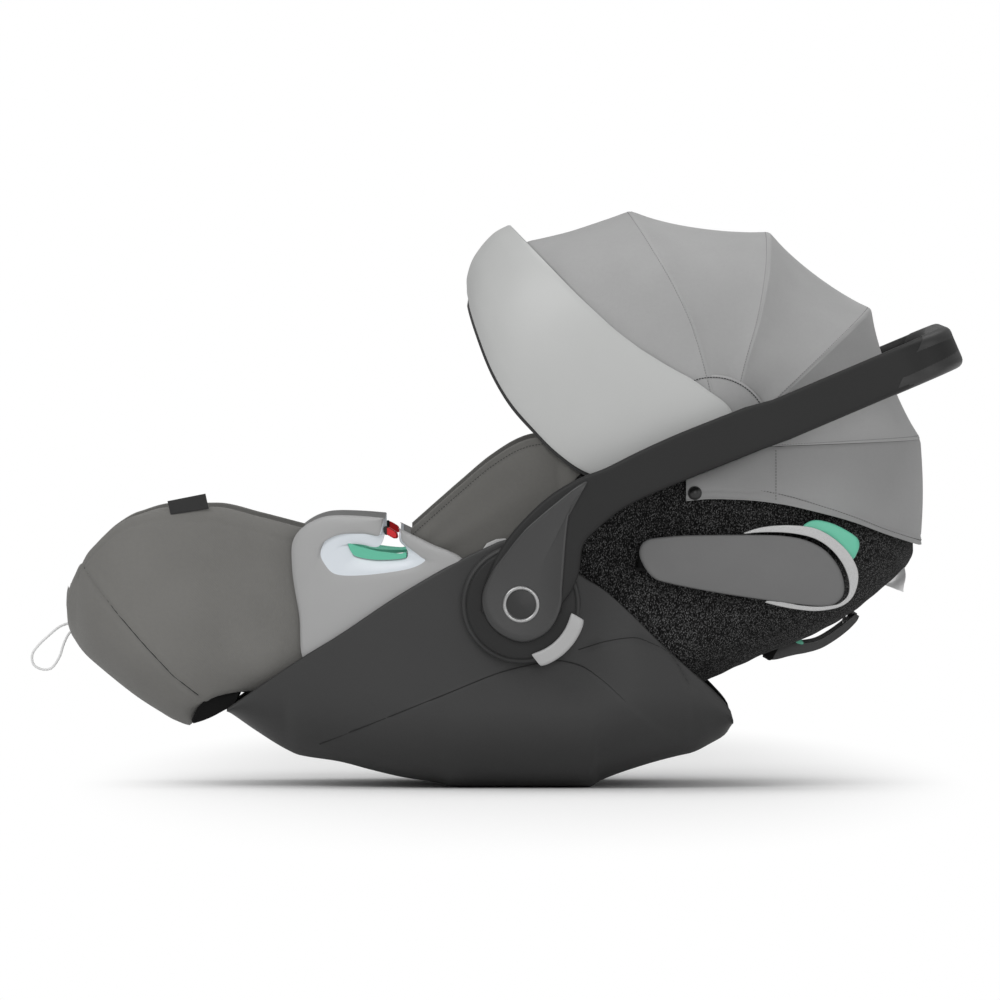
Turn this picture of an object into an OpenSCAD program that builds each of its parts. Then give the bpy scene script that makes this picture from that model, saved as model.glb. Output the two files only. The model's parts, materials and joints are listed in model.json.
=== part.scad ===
// Reclining infant carrier: base, lie-flat backrest, leg rest, folding hood and swivelling handle.
// X runs from the foot end (-) to the head end (+), Z is up, and the left side is at -Y.
// The origin is on the floor, straight below the handle pivots.

/* [Base] */
// Half width of the base at the handle pivots
base_half_w = 182; // [172:1:190]
// Height of the handle pivot above the floor
pivot_z = 185; // [180:1:190]
// Foot end of the base shell
base_front_x = -294; // [-300:1:-290]
// How much narrower the foot end is on each side
nose_taper = 60; // [50:1:70]
// Wall of the moulded shells
shell_wall = 3.5; // [2.5:0.5:4.5]
// Length of the flat sole
sole_flat = 141; // [120:1:150]
// Half width of the sole
sole_half_w = 98; // [80:1:110]
// Thickness of the sole plate under the shell
sole_t = 2; // [1.5:0.5:3]
// Depth of the pockets round the lock bars
lock_pocket_h = 20; // [16:1:24]
// Diameter of the steel bars that lock the carrier onto a car base
lock_bar_d = 9; // [7:0.5:10]

/* [Handle] */
// Thickness of a handle arm across the carrier
arm_t = 20; // [16:1:24]
// Width of a handle arm
arm_w = 43; // [36:1:48]
// Reach of the handle from the pivot to the outside of its grip
handle_reach = 500; // [485:1:520]
// Slope of the arms at rest, in degrees
arm_slope = 23; // [20:1:26]
// Diameter of the handle pivots
handle_pin_d = 24; // [18:1:30]
// Outer radius of the bends between the arms and the grip
bend_r = 60; // [50:1:75]
// Wall of the rubber over the grip
grip_wall = 3; // [2:0.5:4]

/* [Backrest] */
// Gap between the base and the backrest on each side
back_gap = 17; // [15:0.5:22]
// Slope of the backrest at rest, in degrees
back_slope = 31; // [29:1:33]
// Diameter of the recline pivots
recline_pin_d = 16; // [12:1:20]
// Thickness of the cushions
cushion_t = 20; // [14:1:24]
// Thickness of the seat cushion
seat_pad_t = 16; // [12:1:18]

/* [Hood] */
// Gap between the backrest and the rear hood bow on each side
hood_gap = 7; // [6.5:0.5:9]
// Thickness of a hood bow
bow_t = 2.8; // [2:0.2:3]
// Width of a hood bow
bow_w = 4; // [3:0.5:5]
// Thickness of the hood fabric
fabric_t = 2; // [1.5:0.5:2.5]
// Diameter of the hood pivots
hood_pin_d = 10; // [8:1:14]

/* [Leg rest] */
// How far the leg rest stands out past the foot end on each side
leg_overhang = 4; // [2:0.5:5]
// Wall of the leg rest cover
cover_t = 4; // [3:0.5:6]
// Diameter of the leg rest rod
leg_rod_d = 10; // [8:1:12]

/* [Side protectors] */
// Thickness of a side protector
guard_t = 17; // [12:1:18]
// Diameter of its hinge pins
guard_pin_d = 8; // [6:1:9]

/* [Fits] */
// Radial clearance of a running fit
fit = 0.05; // [0.02:0.01:0.1]
// Gap between pieces that move past each other
gap = 0.5; // [0.4:0.1:0.8]

/* [Hidden] */
$fn = 64;

// ---- Places ----
pivot = [0, pivot_z];
recline = [75, 110];
leg_hinge = [-262, 88];
hood = [203, 340];
sole_front_x = -71;
taper_x = -62;
front_half_w = base_half_w - nose_taper;
leg_half_w = front_half_w + leg_overhang;
back_half_w = base_half_w - back_gap;
hood_half_w = back_half_w + hood_gap;
visor_half_w = hood_half_w + 4 * (bow_t + gap) + 1;
visor_t = 2;
hood_cap_t = 4.4;
arm_clear = 8.9;
taper = atan(nose_taper / (taper_x - base_front_x));
boss_r = 58.6;
boss_y = visor_half_w + hood_cap_t + arm_clear;
arm_y = boss_y + gap;

hood_power = 3;

// ---- Outlines of the base, as [x, value] pairs ----
base_top = [[base_front_x, 76], [-218, 128], [-184, 149], [-123, 190], [-59, 227], [-38, 237],
  [-13, 248], [10, 248], [35, 232], [60, 211], [79, 200], [109, 174], [136, 147], [166, 119],
  [181, 105], [195, 92], [209, 75], [212, 66]];
base_low = [[base_front_x, 74], [-267, 55], [-232, 34], [-222, 30], [-182, 24], [-150, 16],
  [-119, 9], [-81, 3], [sole_front_x, 0], [sole_front_x + sole_flat, 0],
  [sole_front_x + sole_flat + 8, 6], [126, 22], [157, 30], [171, 33], [191, 42.5], [205, 51],
  [212, 62]];
base_width = [[base_front_x, front_half_w], [taper_x, base_half_w], [100, base_half_w],
  [160, base_half_w - 14], [212, base_half_w - 42]];
base_round = [84, 78];

// ---- Outlines of the backrest shell, which turns inside a circle round its pivots ----
heel_r = 60;
back_low = concat([for (a = [190:10:300]) recline + heel_r * [cos(a), sin(a)]],
  [[182, 104], [219, 121.5], [249, 135], [279, 146], [327, 171], [366, 201], [384, 216],
   [393, 229], [394, 236]]);
back_top = [[recline.x - heel_r, 103], [20, 135], [30, 200], [45, 300], [60, 378], [110, 385],
  [160, 380], [203, 368], [260, 345], [320, 310], [370, 270], [391, 246], [394, 239]];
back_end = 191;
back_width = concat([[0, back_half_w], [hood.x, back_half_w]],
  [for (a = [10:10:90]) [hood.x + back_end * pow(sin(a), 2 / hood_power), back_half_w * pow(cos(a), 2 / hood_power)]]);
back_round = [70, 80];

// ---- Outlines of the seat tub and the leg rest ----
guide_t0 = shell_wall + gap;
guide_t = 5;
tub_offset = (guide_t0 + guide_t + 0.3) / cos(taper);
tub_low = [[-208, 92], [-190, 76], [-150, 60], [-60, 45], [8, 42]];
tub_top = [[-208, 190], [-200, 212], [-175, 218], [-110, 215], [-62, 214], [8, 236]];
tub_width = [[-208, base_half_w - tub_offset - (taper_x + 208) * tan(taper)],
  [taper_x, base_half_w - tub_offset], [8, base_half_w - tub_offset]];
leg_low = [[-455, 175], [-454, 158], [-447, 144], [-438, 132], [-426, 121], [-386, 89],
  [-362, 74], [-346, 65], [-330, 63], [-322, 80], [-307, 91], [-291, 95], [-261, 97], [-218, 100]];
leg_top = [[-455, 184], [-449, 203], [-440, 221], [-429, 235], [-408, 256], [-386, 268],
  [-351, 274], [-307, 270], [-261, 261], [-218, 247]];
leg_width = concat([for (a = [0:10:90]) [-455 + 85 * (1 - cos(a)), 66 + (leg_half_w - 66) * sin(a)]],
  [[-330, leg_half_w], [-290, leg_half_w - 4], [-218, leg_half_w - 5]]);

// ---- Hood: angle from +X and radius of each bow about the hood pivots ----
rear_bow = [2, 194, hood_half_w];
upper_bow = [42.8, 198, hood_half_w + bow_t + gap];
top_bow = [77.9, 215, hood_half_w + 2 * (bow_t + gap)];
front_bow = [111.6, 249, hood_half_w + 3 * (bow_t + gap)];
brim = [134, 280, hood_half_w + 3 * (bow_t + gap)];
hood_sag = 7;
cloth_lift = bow_t + 1.2;

// ---- Helpers ----
function slope(x, t) = (lookup(x + 1, t) - lookup(x - 1, t)) / 2;

// A path down one wall, across the floor and up the other wall
function u_path(w, zb, zt, ry, rz, n = 8) = let (b = min(rz, (zt - zb) * 0.97), r = min(ry, w * 0.9))
  concat([[-w, zt]],
    [for (i = [0:n]) let (a = 90 * i / n) [-w + r * (1 - cos(a)), zb + b * (1 - sin(a))]],
    [for (i = [n:-1:0]) let (a = 90 * i / n) [w - r * (1 - cos(a)), zb + b * (1 - sin(a))]],
    [[w, zt]]);

function reversed(p) = [for (i = [len(p) - 1:-1:0]) p[i]];

// One station of a U shell: outer and inner faces are set in from the outlines by in and in + t
function u_ring(x, wid, low, top, rnd, inset, t) = let (
    kw = sqrt(1 + pow(slope(x, wid), 2)), kz = sqrt(1 + pow(slope(x, low), 2)),
    zt = lookup(x, top), zl = lookup(x, low), w = lookup(x, wid),
    z1 = min(zl + inset * kz, zt - 1), w1 = max(w - inset * kw, 6),
    z2 = min(zl + (inset + t) * kz, zt - 0.5), w2 = max(w - (inset + t) * kw, 3))
  [for (p = concat(u_path(w1, z1, zt, rnd.x - inset, rnd.y - inset),
      reversed(u_path(w2, z2, zt, rnd.x - inset - t, rnd.y - inset - t)))) [x, p.x, p.y]];

function total(v, i = 0) = i == len(v) - 1 ? v[i] : v[i] + total(v, i + 1);
function ring_normal(r) = total([for (i = [0:len(r) - 1]) cross(r[i], r[(i + 1) % len(r)])]);

// A closed solid through rings of the same length
module skin(rings) {
  n = len(rings[0]);
  m = len(rings);
  ahead = total(rings[1]) - total(rings[0]);
  rows = ring_normal(rings[0]) * ahead < 0 ? rings : [for (r = rings) reversed(r)];
  sides = [for (i = [0:m - 2]) for (j = [0:n - 1]) let (k = (j + 1) % n)
    each [[i * n + j, (i + 1) * n + k, (i + 1) * n + j], [i * n + j, i * n + k, (i + 1) * n + k]]];
  last = (m - 1) * n;
  ends = [for (j = [0:n / 2 - 2]) let (k = n - 1 - j)
    each [[j + 1, j, k - 1], [k - 1, j, k], [last + j, last + j + 1, last + k - 1], [last + j, last + k - 1, last + k]]];
  polyhedron([for (r = rows) each r], concat(sides, ends), convexity = 8);
}

module u_shell(xs, wid, low, top, rnd, inset, t)
  skin([for (x = xs) u_ring(x, wid, low, top, rnd, inset, t)]);

// The same piece on both sides
module both_sides() {
  children();
  mirror([0, 1, 0]) children();
}

module right() mirror([0, 1, 0]) children();

// A flat plate whose outline is given in X and Z, between two distances from the centre plane
module plate(y0, y1) translate([0, -y0, 0]) rotate([90, 0, 0]) linear_extrude(y1 - y0) children();

// A pin across the carrier, on the left side, between two distances from the centre plane
module pin(at, d, y0, y1) translate([at.x, -y0, at.y]) rotate([90, 0, 0]) cylinder(d = d, h = y1 - y0);

// A plate that follows the tapered side wall, between two depths below the wall's outer face
module side_plate(t0, t1)
  translate([taper_x, -base_half_w, 0]) rotate([0, 0, -taper]) translate([0, t1, 0])
    rotate([90, 0, 0]) linear_extrude(t1 - t0) children();

// Outline points given in X and Z, measured along the tapered side wall
function on_wall(pts) = [for (p = pts) [(p.x - taper_x) / cos(taper), p.y]];

// An arc, and a closed band between two radii
function arc(c, r, a0, a1, n = 12) = [for (i = [0:n]) let (a = a0 + (a1 - a0) * i / n) c + r * [cos(a), sin(a)]];
function band(c, r0, r1, a0, a1) = concat(arc(c, r1, a0, a1), arc(c, r0, a1, a0));

// A rectangle with round corners, as points
function round_rect(x0, z0, x1, z1, r) = concat(
  arc([x1 - r, z1 - r], r, 0, 90, 6), arc([x0 + r, z1 - r], r, 90, 180, 6),
  arc([x0 + r, z0 + r], r, 180, 270, 6), arc([x1 - r, z0 + r], r, 270, 360, 6));

// The frame of the backrest: u runs up the back and v away from it
module on_back() translate([recline.x, 0, recline.y]) rotate([0, -back_slope, 0]) children();

// ---- Base ----
module base_shell() color("#3c3c3c") difference() {
  u_shell([base_front_x, -288, -278, -267, -250, -232, -218, -200, -182, -150, -119, -90, taper_x,
      -40, -20, 0, 20, 40, 60, 80, 100, 120, 140, 160, 175, 188, 198, 206, 212],
    base_width, [for (p = base_low) [p.x, max(p.y, sole_t)]], base_top, base_round, 0, shell_wall);
  for (x = lock_bar_x) translate([x - 17, -79, -1]) cube([34, 158, shell_wall + 8]);
}

lock_bar_x = [-38, 38];
lock_bar_z = 9;

module base_sole() color("#2b2b2b") difference() {
  union() {
    translate([sole_front_x, -sole_half_w, 0]) cube([sole_flat, 2 * sole_half_w, sole_t]);
    for (x = lock_bar_x) translate([x - 16, -78, 0]) cube([32, 156, lock_pocket_h]);
  }
  for (x = lock_bar_x) {
    translate([x - 13, -62, -1]) cube([26, 124, lock_pocket_h - 2]);
    translate([x, 0, lock_bar_z]) rotate([90, 0, 0]) cylinder(d = lock_bar_d, h = 150, center = true);
  }
  for (x = [-64, 62], y = [-88, 88]) translate([x, y, -1]) cylinder(d = 5, h = sole_t + 2);
}

module lock_bars() color("#b8bcc0") for (x = lock_bar_x)
  translate([x, 0, lock_bar_z]) rotate([90, 0, 0]) cylinder(d = lock_bar_d, h = 150, center = true);

module pivot_bosses() color("#3a3a3a") both_sides() {
  difference() {
    pin(pivot, 2 * boss_r, base_half_w, boss_y);
    for (a = [0:30:330]) pin(pivot + 30 * [cos(a), sin(a)], 7, boss_y - 8, boss_y + 1);
  }
  pin(pivot, handle_pin_d, boss_y - 1, arm_y + 13);
}

module recline_pins() color("#9a9ea2") both_sides() {
  pin(recline, recline_pin_d, back_half_w + 0.5, base_half_w - shell_wall);
  pin(recline, recline_pin_d + 14, back_half_w + 5, base_half_w - shell_wall);
}

leg_rod_half = lookup(leg_hinge.x, base_width) - shell_wall - 7.4;
module leg_rest_rod() color("#9a9ea2") {
  translate([leg_hinge.x, 0, leg_hinge.y]) rotate([90, 0, 0])
    cylinder(d = leg_rod_d, h = 2 * leg_rod_half, center = true);
  both_sides() pin(leg_hinge, leg_rod_d + 4, leg_rod_half - 3, leg_rod_half + 1.4);
}

module seat_tub() color("#2e2e2e")
  u_shell([-208, -200, -190, -175, -160, -140, -120, -90, taper_x, -30, 8],
    tub_width, tub_low, tub_top, [80, 70], 0, 3);

module seat_cushion() color("#6e6d6a")
  u_shell([-200, -190, -175, -160, -140, -120, -90, taper_x, -30, -6],
    tub_width, tub_low, [[-200, 190], [-190, 200], [-160, 206], [-120, 205], [-90, 202], [taper_x, 190], [-6, 150]],
    [80, 70], 3.8, seat_pad_t);

// ---- Belt guides ----
guide_outline = [[-217, 116], [-62, 116], [-60, 228], [-93, 245], [-123, 259], [-124, 266],
  [-138, 267], [-160, 270], [-184, 271], [-206, 268], [-215, 262], [-230, 236], [-229, 209], [-223, 172]];
guide_hole = [[-175, 245], [-161, 243], [-145, 240], [-138, 245], [-138, 280], [-124, 280],
  [-124, 246], [-115, 235], [-119, 229], [-145, 227], [-166, 230], [-171, 235]];
bezel_outline = [[-201, 236], [-190, 252], [-160, 254], [-142, 252], [-140, 262], [-122, 260],
  [-119, 246], [-102, 232], [-97, 227], [-114, 219], [-154, 213], [-184, 213], [-196, 222]];
liner_outline = [[-174.8, 244], [-170.5, 235.4], [-165.7, 230.5], [-145, 227.5], [-119.5, 229.4],
  [-116, 234.5], [-119, 237.5], [-122, 233.6], [-145, 231.6], [-163.6, 234.3], [-167.5, 238], [-171, 243.5]];
module guide_panels() color("#a9a9a9") both_sides() side_plate(guide_t0, guide_t0 + guide_t)
  difference() {
    polygon(on_wall(guide_outline));
    polygon(on_wall(guide_hole));
  }

module guide_bezels() color("#d4dae0") both_sides() side_plate(guide_t0 - 2, guide_t0)
  difference() {
    polygon(on_wall(bezel_outline));
    polygon(on_wall(guide_hole));
  }

module guide_liners() color("#5fb89b") both_sides() side_plate(guide_t0 - 1.4, guide_t0 + guide_t)
  polygon(on_wall(liner_outline));

gate_pin = [-134.3, 253.5];
module belt_gate_left() color("#c8141a") side_plate(guide_t0 + 0.5, guide_t0 + 4.5)
  let (p = on_wall([gate_pin])[0]) {
    translate(p) circle(r = 3.3);
    polygon(concat([p, p + [0, -3.2]], on_wall([[-127, 249], [-124.7, 251], [-126, 254.5]]), [p + [0, 3.2]]));
  }

module belt_gate_right() right() belt_gate_left();

// ---- Stroller release levers, in the gap between the base wall and the tub ----
module stroller_lever_left() color("#b4b4b4")
  plate(base_half_w - shell_wall - gap - 4.4, base_half_w - shell_wall - gap)
    polygon([[-39, 226], [-39, 238], [-34, 245], [-25, 249], [-15, 250], [-13, 244], [-20, 226]]);

module stroller_lever_right() right() stroller_lever_left();

// ---- Leg rest ----
leg_xs = [-455, -453, -449, -444, -438, -430, -420, -408, -395, -380, -362, -346, -330, -322, -314, -307,
  -291, -276, -261, -240, -218];
module leg_rest_cover() color("#6e6d6a") difference() {
  u_shell(leg_xs, leg_width, leg_low, leg_top, [70, 60], 0, cover_t);
  translate([-329, -104, 50]) cube([120, 208, 90]);
}

module leg_rest_pad() color("#7a7976")
  u_shell([-440, -430, -420, -408, -395, -380, -362, -346], leg_width,
    [for (p = leg_low) [p.x, p.y + 44]], [for (p = leg_top) [p.x, p.y - 34]],
    [70, 60], cover_t + 0.4, 12);

tray_y = 60;
module leg_rest_tray() color("#1d1d1d") {
  both_sides() difference() {
    plate(tray_y, tray_y + 8) {
      translate(leg_hinge) circle(d = leg_rod_d + 12);
      polygon([[-262, 99], [-262, 92], [-292, 95], [-304, 86], [-312, 77], [-326, 70], [-334, 76],
        [-344, 81], [-402, 118], [-400, 124], [-334, 96], [-290, 106]]);
    }
    pin(leg_hinge, leg_rod_d + 2 * fit, tray_y - 1, tray_y + 9);
  }
  plate(-tray_y, tray_y) polygon([[-327, 84], [-327, 92], [-334, 96], [-400, 124], [-402, 118], [-342, 88]]);
  plate(-tray_y - 43, tray_y + 43)
    polygon([[-327, 88], [-290, 102], [-262, 104], [-226, 102], [-226, 106], [-262, 108], [-290, 106], [-327, 92]]);
}

module leg_rest_label() color("#1c1c1c")
  plate(leg_half_w - cover_t - 3.4, leg_half_w - cover_t - 2.2)
    polygon([[-353, 262], [-353, 285], [-312, 293], [-312, 262]]);

loop_path = [[-454, 0, 161.4], [-463, 0, 158], [-471, 0, 152], [-484, 0, 140], [-491, 0, 130],
  [-490, 0, 120], [-482, 0, 115], [-472, 0, 116], [-464, 0, 127], [-460, 0, 139], [-456, 0, 148], [-452.9, 0, 152.4]];
loop_r = 1.8;
function unit(v) = v / norm(v);
function tangent(p, i) = unit(p[min(i + 1, len(p) - 1)] - p[max(i - 1, 0)]);
module pull_loop() color("#e4e4e4")
  skin([for (i = [0:len(loop_path) - 1]) let (t = tangent(loop_path, i), n = [-t.z, 0, t.x])
    [for (a = [0:45:315]) loop_path[i] + loop_r * (n * cos(a) + [0, 1, 0] * sin(a))]]);

// ---- Backrest ----
back_xs = [15.5, 17, 20, 25, 30, 38, 45, 52, 60, 75, 90, 105, 125, 150, 182, 219, 249, 279, 300, 327,
  347, 366, 378, 386, 391, 393.4];
module backrest_shell() color("#141414")
  u_shell(back_xs, back_width, back_low, back_top, back_round, 0, 3);

module backrest_cushion() color("#5c5b59")
  u_shell([for (x = back_xs) if (x > 24 && x < 360) x],
    back_width, back_low, [for (p = back_top) [p.x, p.y - 6]], back_round, 3.8, cushion_t);

module hinge_plates() color("#4a4a4a") both_sides() {
  difference() {
    pin(recline, 64, back_half_w, back_half_w + 4);
    pin(recline, recline_pin_d + 2 * fit, back_half_w - 1, back_half_w + 5);
  }
  plate(lever_half_w + 2, lever_half_w + 7) {
    translate(lever_pin) circle(r = 4);
    polygon([[245, 129], [242, 131.3], [258, 137.8], [253, 129]]);
  }
  pin(lever_pin, 4, lever_half_w - 6, lever_half_w + 3);
  for (z = [-11.4, 8.4]) translate([guard_pin.x - 7, -guard_y - 12, guard_pin.y + z])
    cube([11.5, guard_y + 12 - back_half_w, 3]);
  translate([guard_pin.x, -guard_y - 5, guard_pin.y - 11.4]) cylinder(d = guard_pin_d, h = 22.8);
}

gusset_top = [[-110, 254], [-60, 297], [-2, 339], [10, 343], [46, 350]];
gusset_low = [[-110, 208], [-90, 206], [-62, 197], [8, 232], [46, 318]];
gusset_t = 3;
function gusset_y(x) = min(back_half_w - 3.9, base_half_w - tub_offset - 3.4 + min(x - taper_x, 0) * tan(taper));
module side_gussets() color("#565553") both_sides()
  skin([for (x = [-110:12:46]) let (y = gusset_y(x), zl = lookup(x, gusset_low), zt = lookup(x, gusset_top))
    [[x, -y, zl], [x, -y, zt], [x, -y + gusset_t, zt], [x, -y + gusset_t, zl]]]);

// ---- Hood ----
function hood_point(a, r, y) = [hood.x + r * cos(a), y, hood.y + r * sin(a)];

// Half of a bow's outline as [radius, y], from the crown to the pivot, to a least radius
function hood_arch(r, w, n = 14, stop = 38) = let (last = asin(pow(1 - pow(stop / r, hood_power), 0.5)))
  [for (i = [0:n]) let (f = last * i / n) [r * pow(cos(f), 2 / hood_power), w * pow(sin(f), 2 / hood_power)]];

function full_arch(r, w) = let (h = hood_arch(r, w))
  concat([for (p = reversed(h)) [p.x, -p.y]], [for (i = [1:len(h) - 1]) h[i]]);

// A ring of a hood panel at one angle
function panel_ring(a, r, w) = concat([for (p = full_arch(r, w)) hood_point(a, p.x, p.y)],
  reversed([for (p = full_arch(r - fabric_t, w - fabric_t)) hood_point(a, p.x, p.y)]));

// Fabric stretched from one bow to the next, drawn in a little between them
module hood_panel(from, to, steps = 6) {
  edge = 0.12;
  skin([for (i = [0:steps]) let (f = i / steps, a = from[0] + edge + (to[0] - from[0] - 2 * edge) * f,
      span = to[0] - from[0], flat = 1 / ((1 - f) * sin(span * (1 - f)) / max(sin(span), 0.01) + 1),
      chord = from[1] * to[1] * sin(span) / (from[1] * sin(span * f) + to[1] * sin(span * (1 - f))),
      r = chord - hood_sag * 4 * f * (1 - f) + cloth_lift, w = from[2] + (to[2] - from[2]) * f + bow_t + gap)
    panel_ring(a, r, w)]);
}

// A bow's edge: the arch, run straight on at each end as far as the pivot
function bow_edge(r, w) = concat([[0, -w], [bow_straight, -w]], full_arch(r, w), [[bow_straight, w], [0, w]]);

// A bow: a flat strip bent over the crown, with a round eye on each pivot
bow_straight = 20;
bow_eye_d = 22;
module hood_bow(b) color("#2a2a2a") translate([hood.x, 0, hood.y]) rotate([0, -b[0], 0]) difference() {
  union() {
    linear_extrude(bow_w, center = true)
      polygon(concat(bow_edge(b[1], b[2]), reversed(bow_edge(b[1] - bow_t, b[2] - bow_t))));
    both_sides() pin([0, 0], bow_eye_d, b[2] - bow_t, b[2]);
  }
  both_sides() pin([0, 0], hood_pin_d + 2 * fit, b[2] - bow_t - 1, b[2] + 1);
}

module hood_bow_rear() hood_bow(rear_bow);
module hood_bow_upper() hood_bow(upper_bow);
module hood_bow_top() hood_bow(top_bow);
module hood_bow_front() hood_bow(front_bow);
module hood_panel_rear() color("#8f8f8f") hood_panel(rear_bow, upper_bow);
module hood_panel_upper() color("#949494") hood_panel(upper_bow, top_bow);
module hood_panel_top() color("#979797") hood_panel(top_bow, front_bow);
module hood_panel_front() color("#999999") hood_panel(front_bow, brim, 4);

snap_at = [173, 295];
module hood_pivots() color("#1a1a1a") both_sides() {
  pin(hood, 40, back_half_w, hood_half_w - bow_t - gap);
  pin(hood, hood_pin_d, back_half_w, visor_half_w + hood_cap_t - 2);
  pin(hood, 20, visor_half_w + hood_cap_t - 2, visor_half_w + hood_cap_t);
  pin(snap_at, 5, back_half_w, hood_half_w + 1);
  pin(snap_at, 14, hood_half_w + bow_t + gap + 0.1, hood_half_w + bow_t + gap + 3.5);
}

// The skirt hangs from the rear bow and wraps round the head end
hem = [[165, 287], [190, 289], [223, 288], [258, 284], [294, 276], [330, 266], [365, 253], [400, 241]];
function skirt_plan(w, r) = let (h = hood_arch(r, w, 14, 1))
  concat([[165 - hood.x, -w]], [for (p = reversed(h)) [p.x, -p.y]], [for (i = [1:len(h) - 1]) h[i]], [[165 - hood.x, w]]);
skirt_out = skirt_plan(hood_half_w + bow_t + gap, rear_bow[1] + cloth_lift);
skirt_in = skirt_plan(hood_half_w + 1.2 + gap, rear_bow[1] + cloth_lift - 1.6);
module hood_skirt() color("#8c8c8c")
  skin([for (i = [0:len(skirt_out) - 1]) let (o = skirt_out[i], n = skirt_in[i],
      zt = hood.y - gap + o.x * tan(rear_bow[0]) - 14 * max(0, 1 - o.x / 40), zl = lookup(hood.x + o.x, hem))
    [[hood.x + o.x, o.y, zl], [hood.x + o.x, o.y, zt], [hood.x + n.x, n.y, zt], [hood.x + n.x, n.y, zl]]]);

// ---- Visor ----
visor_rear = [[36, 96], [53, 107], [89, 125.8], [129, 132.8], [170, 134.3], [310, 134]];
visor_front = [[36, 232], [60, 222], [92, 207], [137, 191.8], [166, 182], [192, 174.3], [217.5, 168.3],
  [241, 162.6], [267.7, 156.2], [290, 151.5], [300, 149.4], [310, 148.6]];
visor_crown = [[0, 304], [0.25, 309], [0.6, 309.5], [0.85, 306], [1, 298]];
function visor_row(t, inset) = let (r = lookup(t, visor_crown) - inset, w = visor_half_w + 2 - inset,
    h = hood_arch(r, w, 16, 36))
  concat([for (p = reversed(h)) visor_point(t, p.x, -p.y)], [for (i = [1:len(h) - 1]) visor_point(t, h[i].x, h[i].y)]);
function visor_point(t, r, y) = hood_point(lookup(r, visor_rear) * (1 - t) + lookup(r, visor_front) * t, r, y);

module visor() color("#bcbebf") {
  skin([for (t = [0:0.125:1]) concat(visor_row(t, 0), reversed(visor_row(t, visor_t)))]);
  both_sides() difference() {
    pin(hood, 84, visor_half_w - 0.4, visor_half_w + 2);
    pin(hood, hood_pin_d + 2 * fit, visor_half_w - 1, visor_half_w + 3);
  }
}

module visor_lining() color("#303030")
  skin([for (t = [0.86, 0.93, 0.99]) concat(visor_row(t, visor_t + 0.3), reversed(visor_row(t, visor_t + 3.3)))]);

// ---- Headrest, harness and buckle, in the backrest's own frame ----
head_v = -32;
head_u = 85;
head_len = 136;
module headrest_shell() color("#3a3a3a") on_back() translate([head_u, 0, 0]) rotate([90, 0, 90])
  linear_extrude(head_len) polygon(concat(u_path(124, head_v + 1, 70, 60, 60), reversed(u_path(121, head_v + 4, 70, 57, 57))));

module headrest_pad() color("#6a6967") on_back() translate([head_u + 3, 0, 0]) rotate([90, 0, 90])
  linear_extrude(head_len - 6)
    polygon(concat(u_path(120.6, head_v + 4.4, 66, 57, 57), reversed(u_path(100, head_v + 22, 66, 42, 42))));

module headrest_lever() color("#2c2c2c") on_back()
  translate([head_u + head_len + 0.4, -24, head_v + 1]) cube([16, 48, 9]);

module shoulder_pads() color("#6a6967") on_back() both_sides()
  translate([8, -78, head_v + 2]) rotate([90, 0, 90]) linear_extrude(76.5)
    polygon(round_rect(0, 0, 46, 13, 5));

strap_path = [[7, -54, head_v + 8], [-14, -50, -18], [-29.8, -42, 15.5], [-42.9, -30, 48], [-50, -20.5, 66]];
strap_w = 26;
module harness_straps() color("#3d3d3d") on_back() both_sides()
  skin([for (i = [0:len(strap_path) - 1]) let (p = strap_path[i], t = tangent(strap_path, i),
      n = unit([-t.z, 0, t.x]), w = strap_w - 3.2 * i)
    [p + [0, -w / 2, 0] - n, p + [0, w / 2, 0] - n, p + [0, w / 2, 0] + n, p + [0, -w / 2, 0] + n]]);

buckle_at = [-18, 150];
module at_buckle() translate([buckle_at.x, 0, buckle_at.y]) rotate([0, -28, 0]) children();
module buckle_body() color("#232323") at_buckle() difference() {
  translate([-9, 0, 0]) rotate([90, 0, 90]) linear_extrude(18) polygon(round_rect(-24, -30, 24, 34, 8));
  translate([-1, -13, -20]) cube([14, 26, 26]);
}
module buckle_button() color("#b02020") at_buckle() translate([2.6, -12.6, -19.6]) cube([8, 25.2, 25.2]);

crotch_path = [[-52, 0, 65.2], [-50, 0, 84], [-44, 0, 100], [-37, 0, 112], [-33.6, 0, 120.5]];
module lower_straps() color("#3d3d3d") {
  skin([for (i = [0:len(crotch_path) - 1]) let (p = crotch_path[i], t = tangent(crotch_path, i), n = unit([-t.z, 0, t.x]))
    [p + [0, -18, 0] - 1.5 * n, p + [0, 18, 0] - 1.5 * n, p + [0, 18, 0] + 1.5 * n, p + [0, -18, 0] + 1.5 * n]]);
  skin([for (p = [[-185.4, 106], [-196, 114], [-206, 128], [-209, 142], [-209, 168]])
    [[p.x, -14, p.y - 1], [p.x, 14, p.y - 1], [p.x + 1, 14, p.y + 1.4], [p.x + 1, -14, p.y + 1.4]]]);
}

adjuster_at = [-184, 97];
module adjuster_housing() color("#262626") difference() {
  translate([adjuster_at.x, -26, adjuster_at.y]) cube([44, 52, 13]);
  translate([adjuster_at.x + 12, -14, adjuster_at.y + 6]) cube([22, 28, 12]);
}
module adjuster_button() color("#8a8a8a")
  translate([adjuster_at.x + 12.4, -13.6, adjuster_at.y + 9]) cube([21.2, 27.2, 7]);

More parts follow.
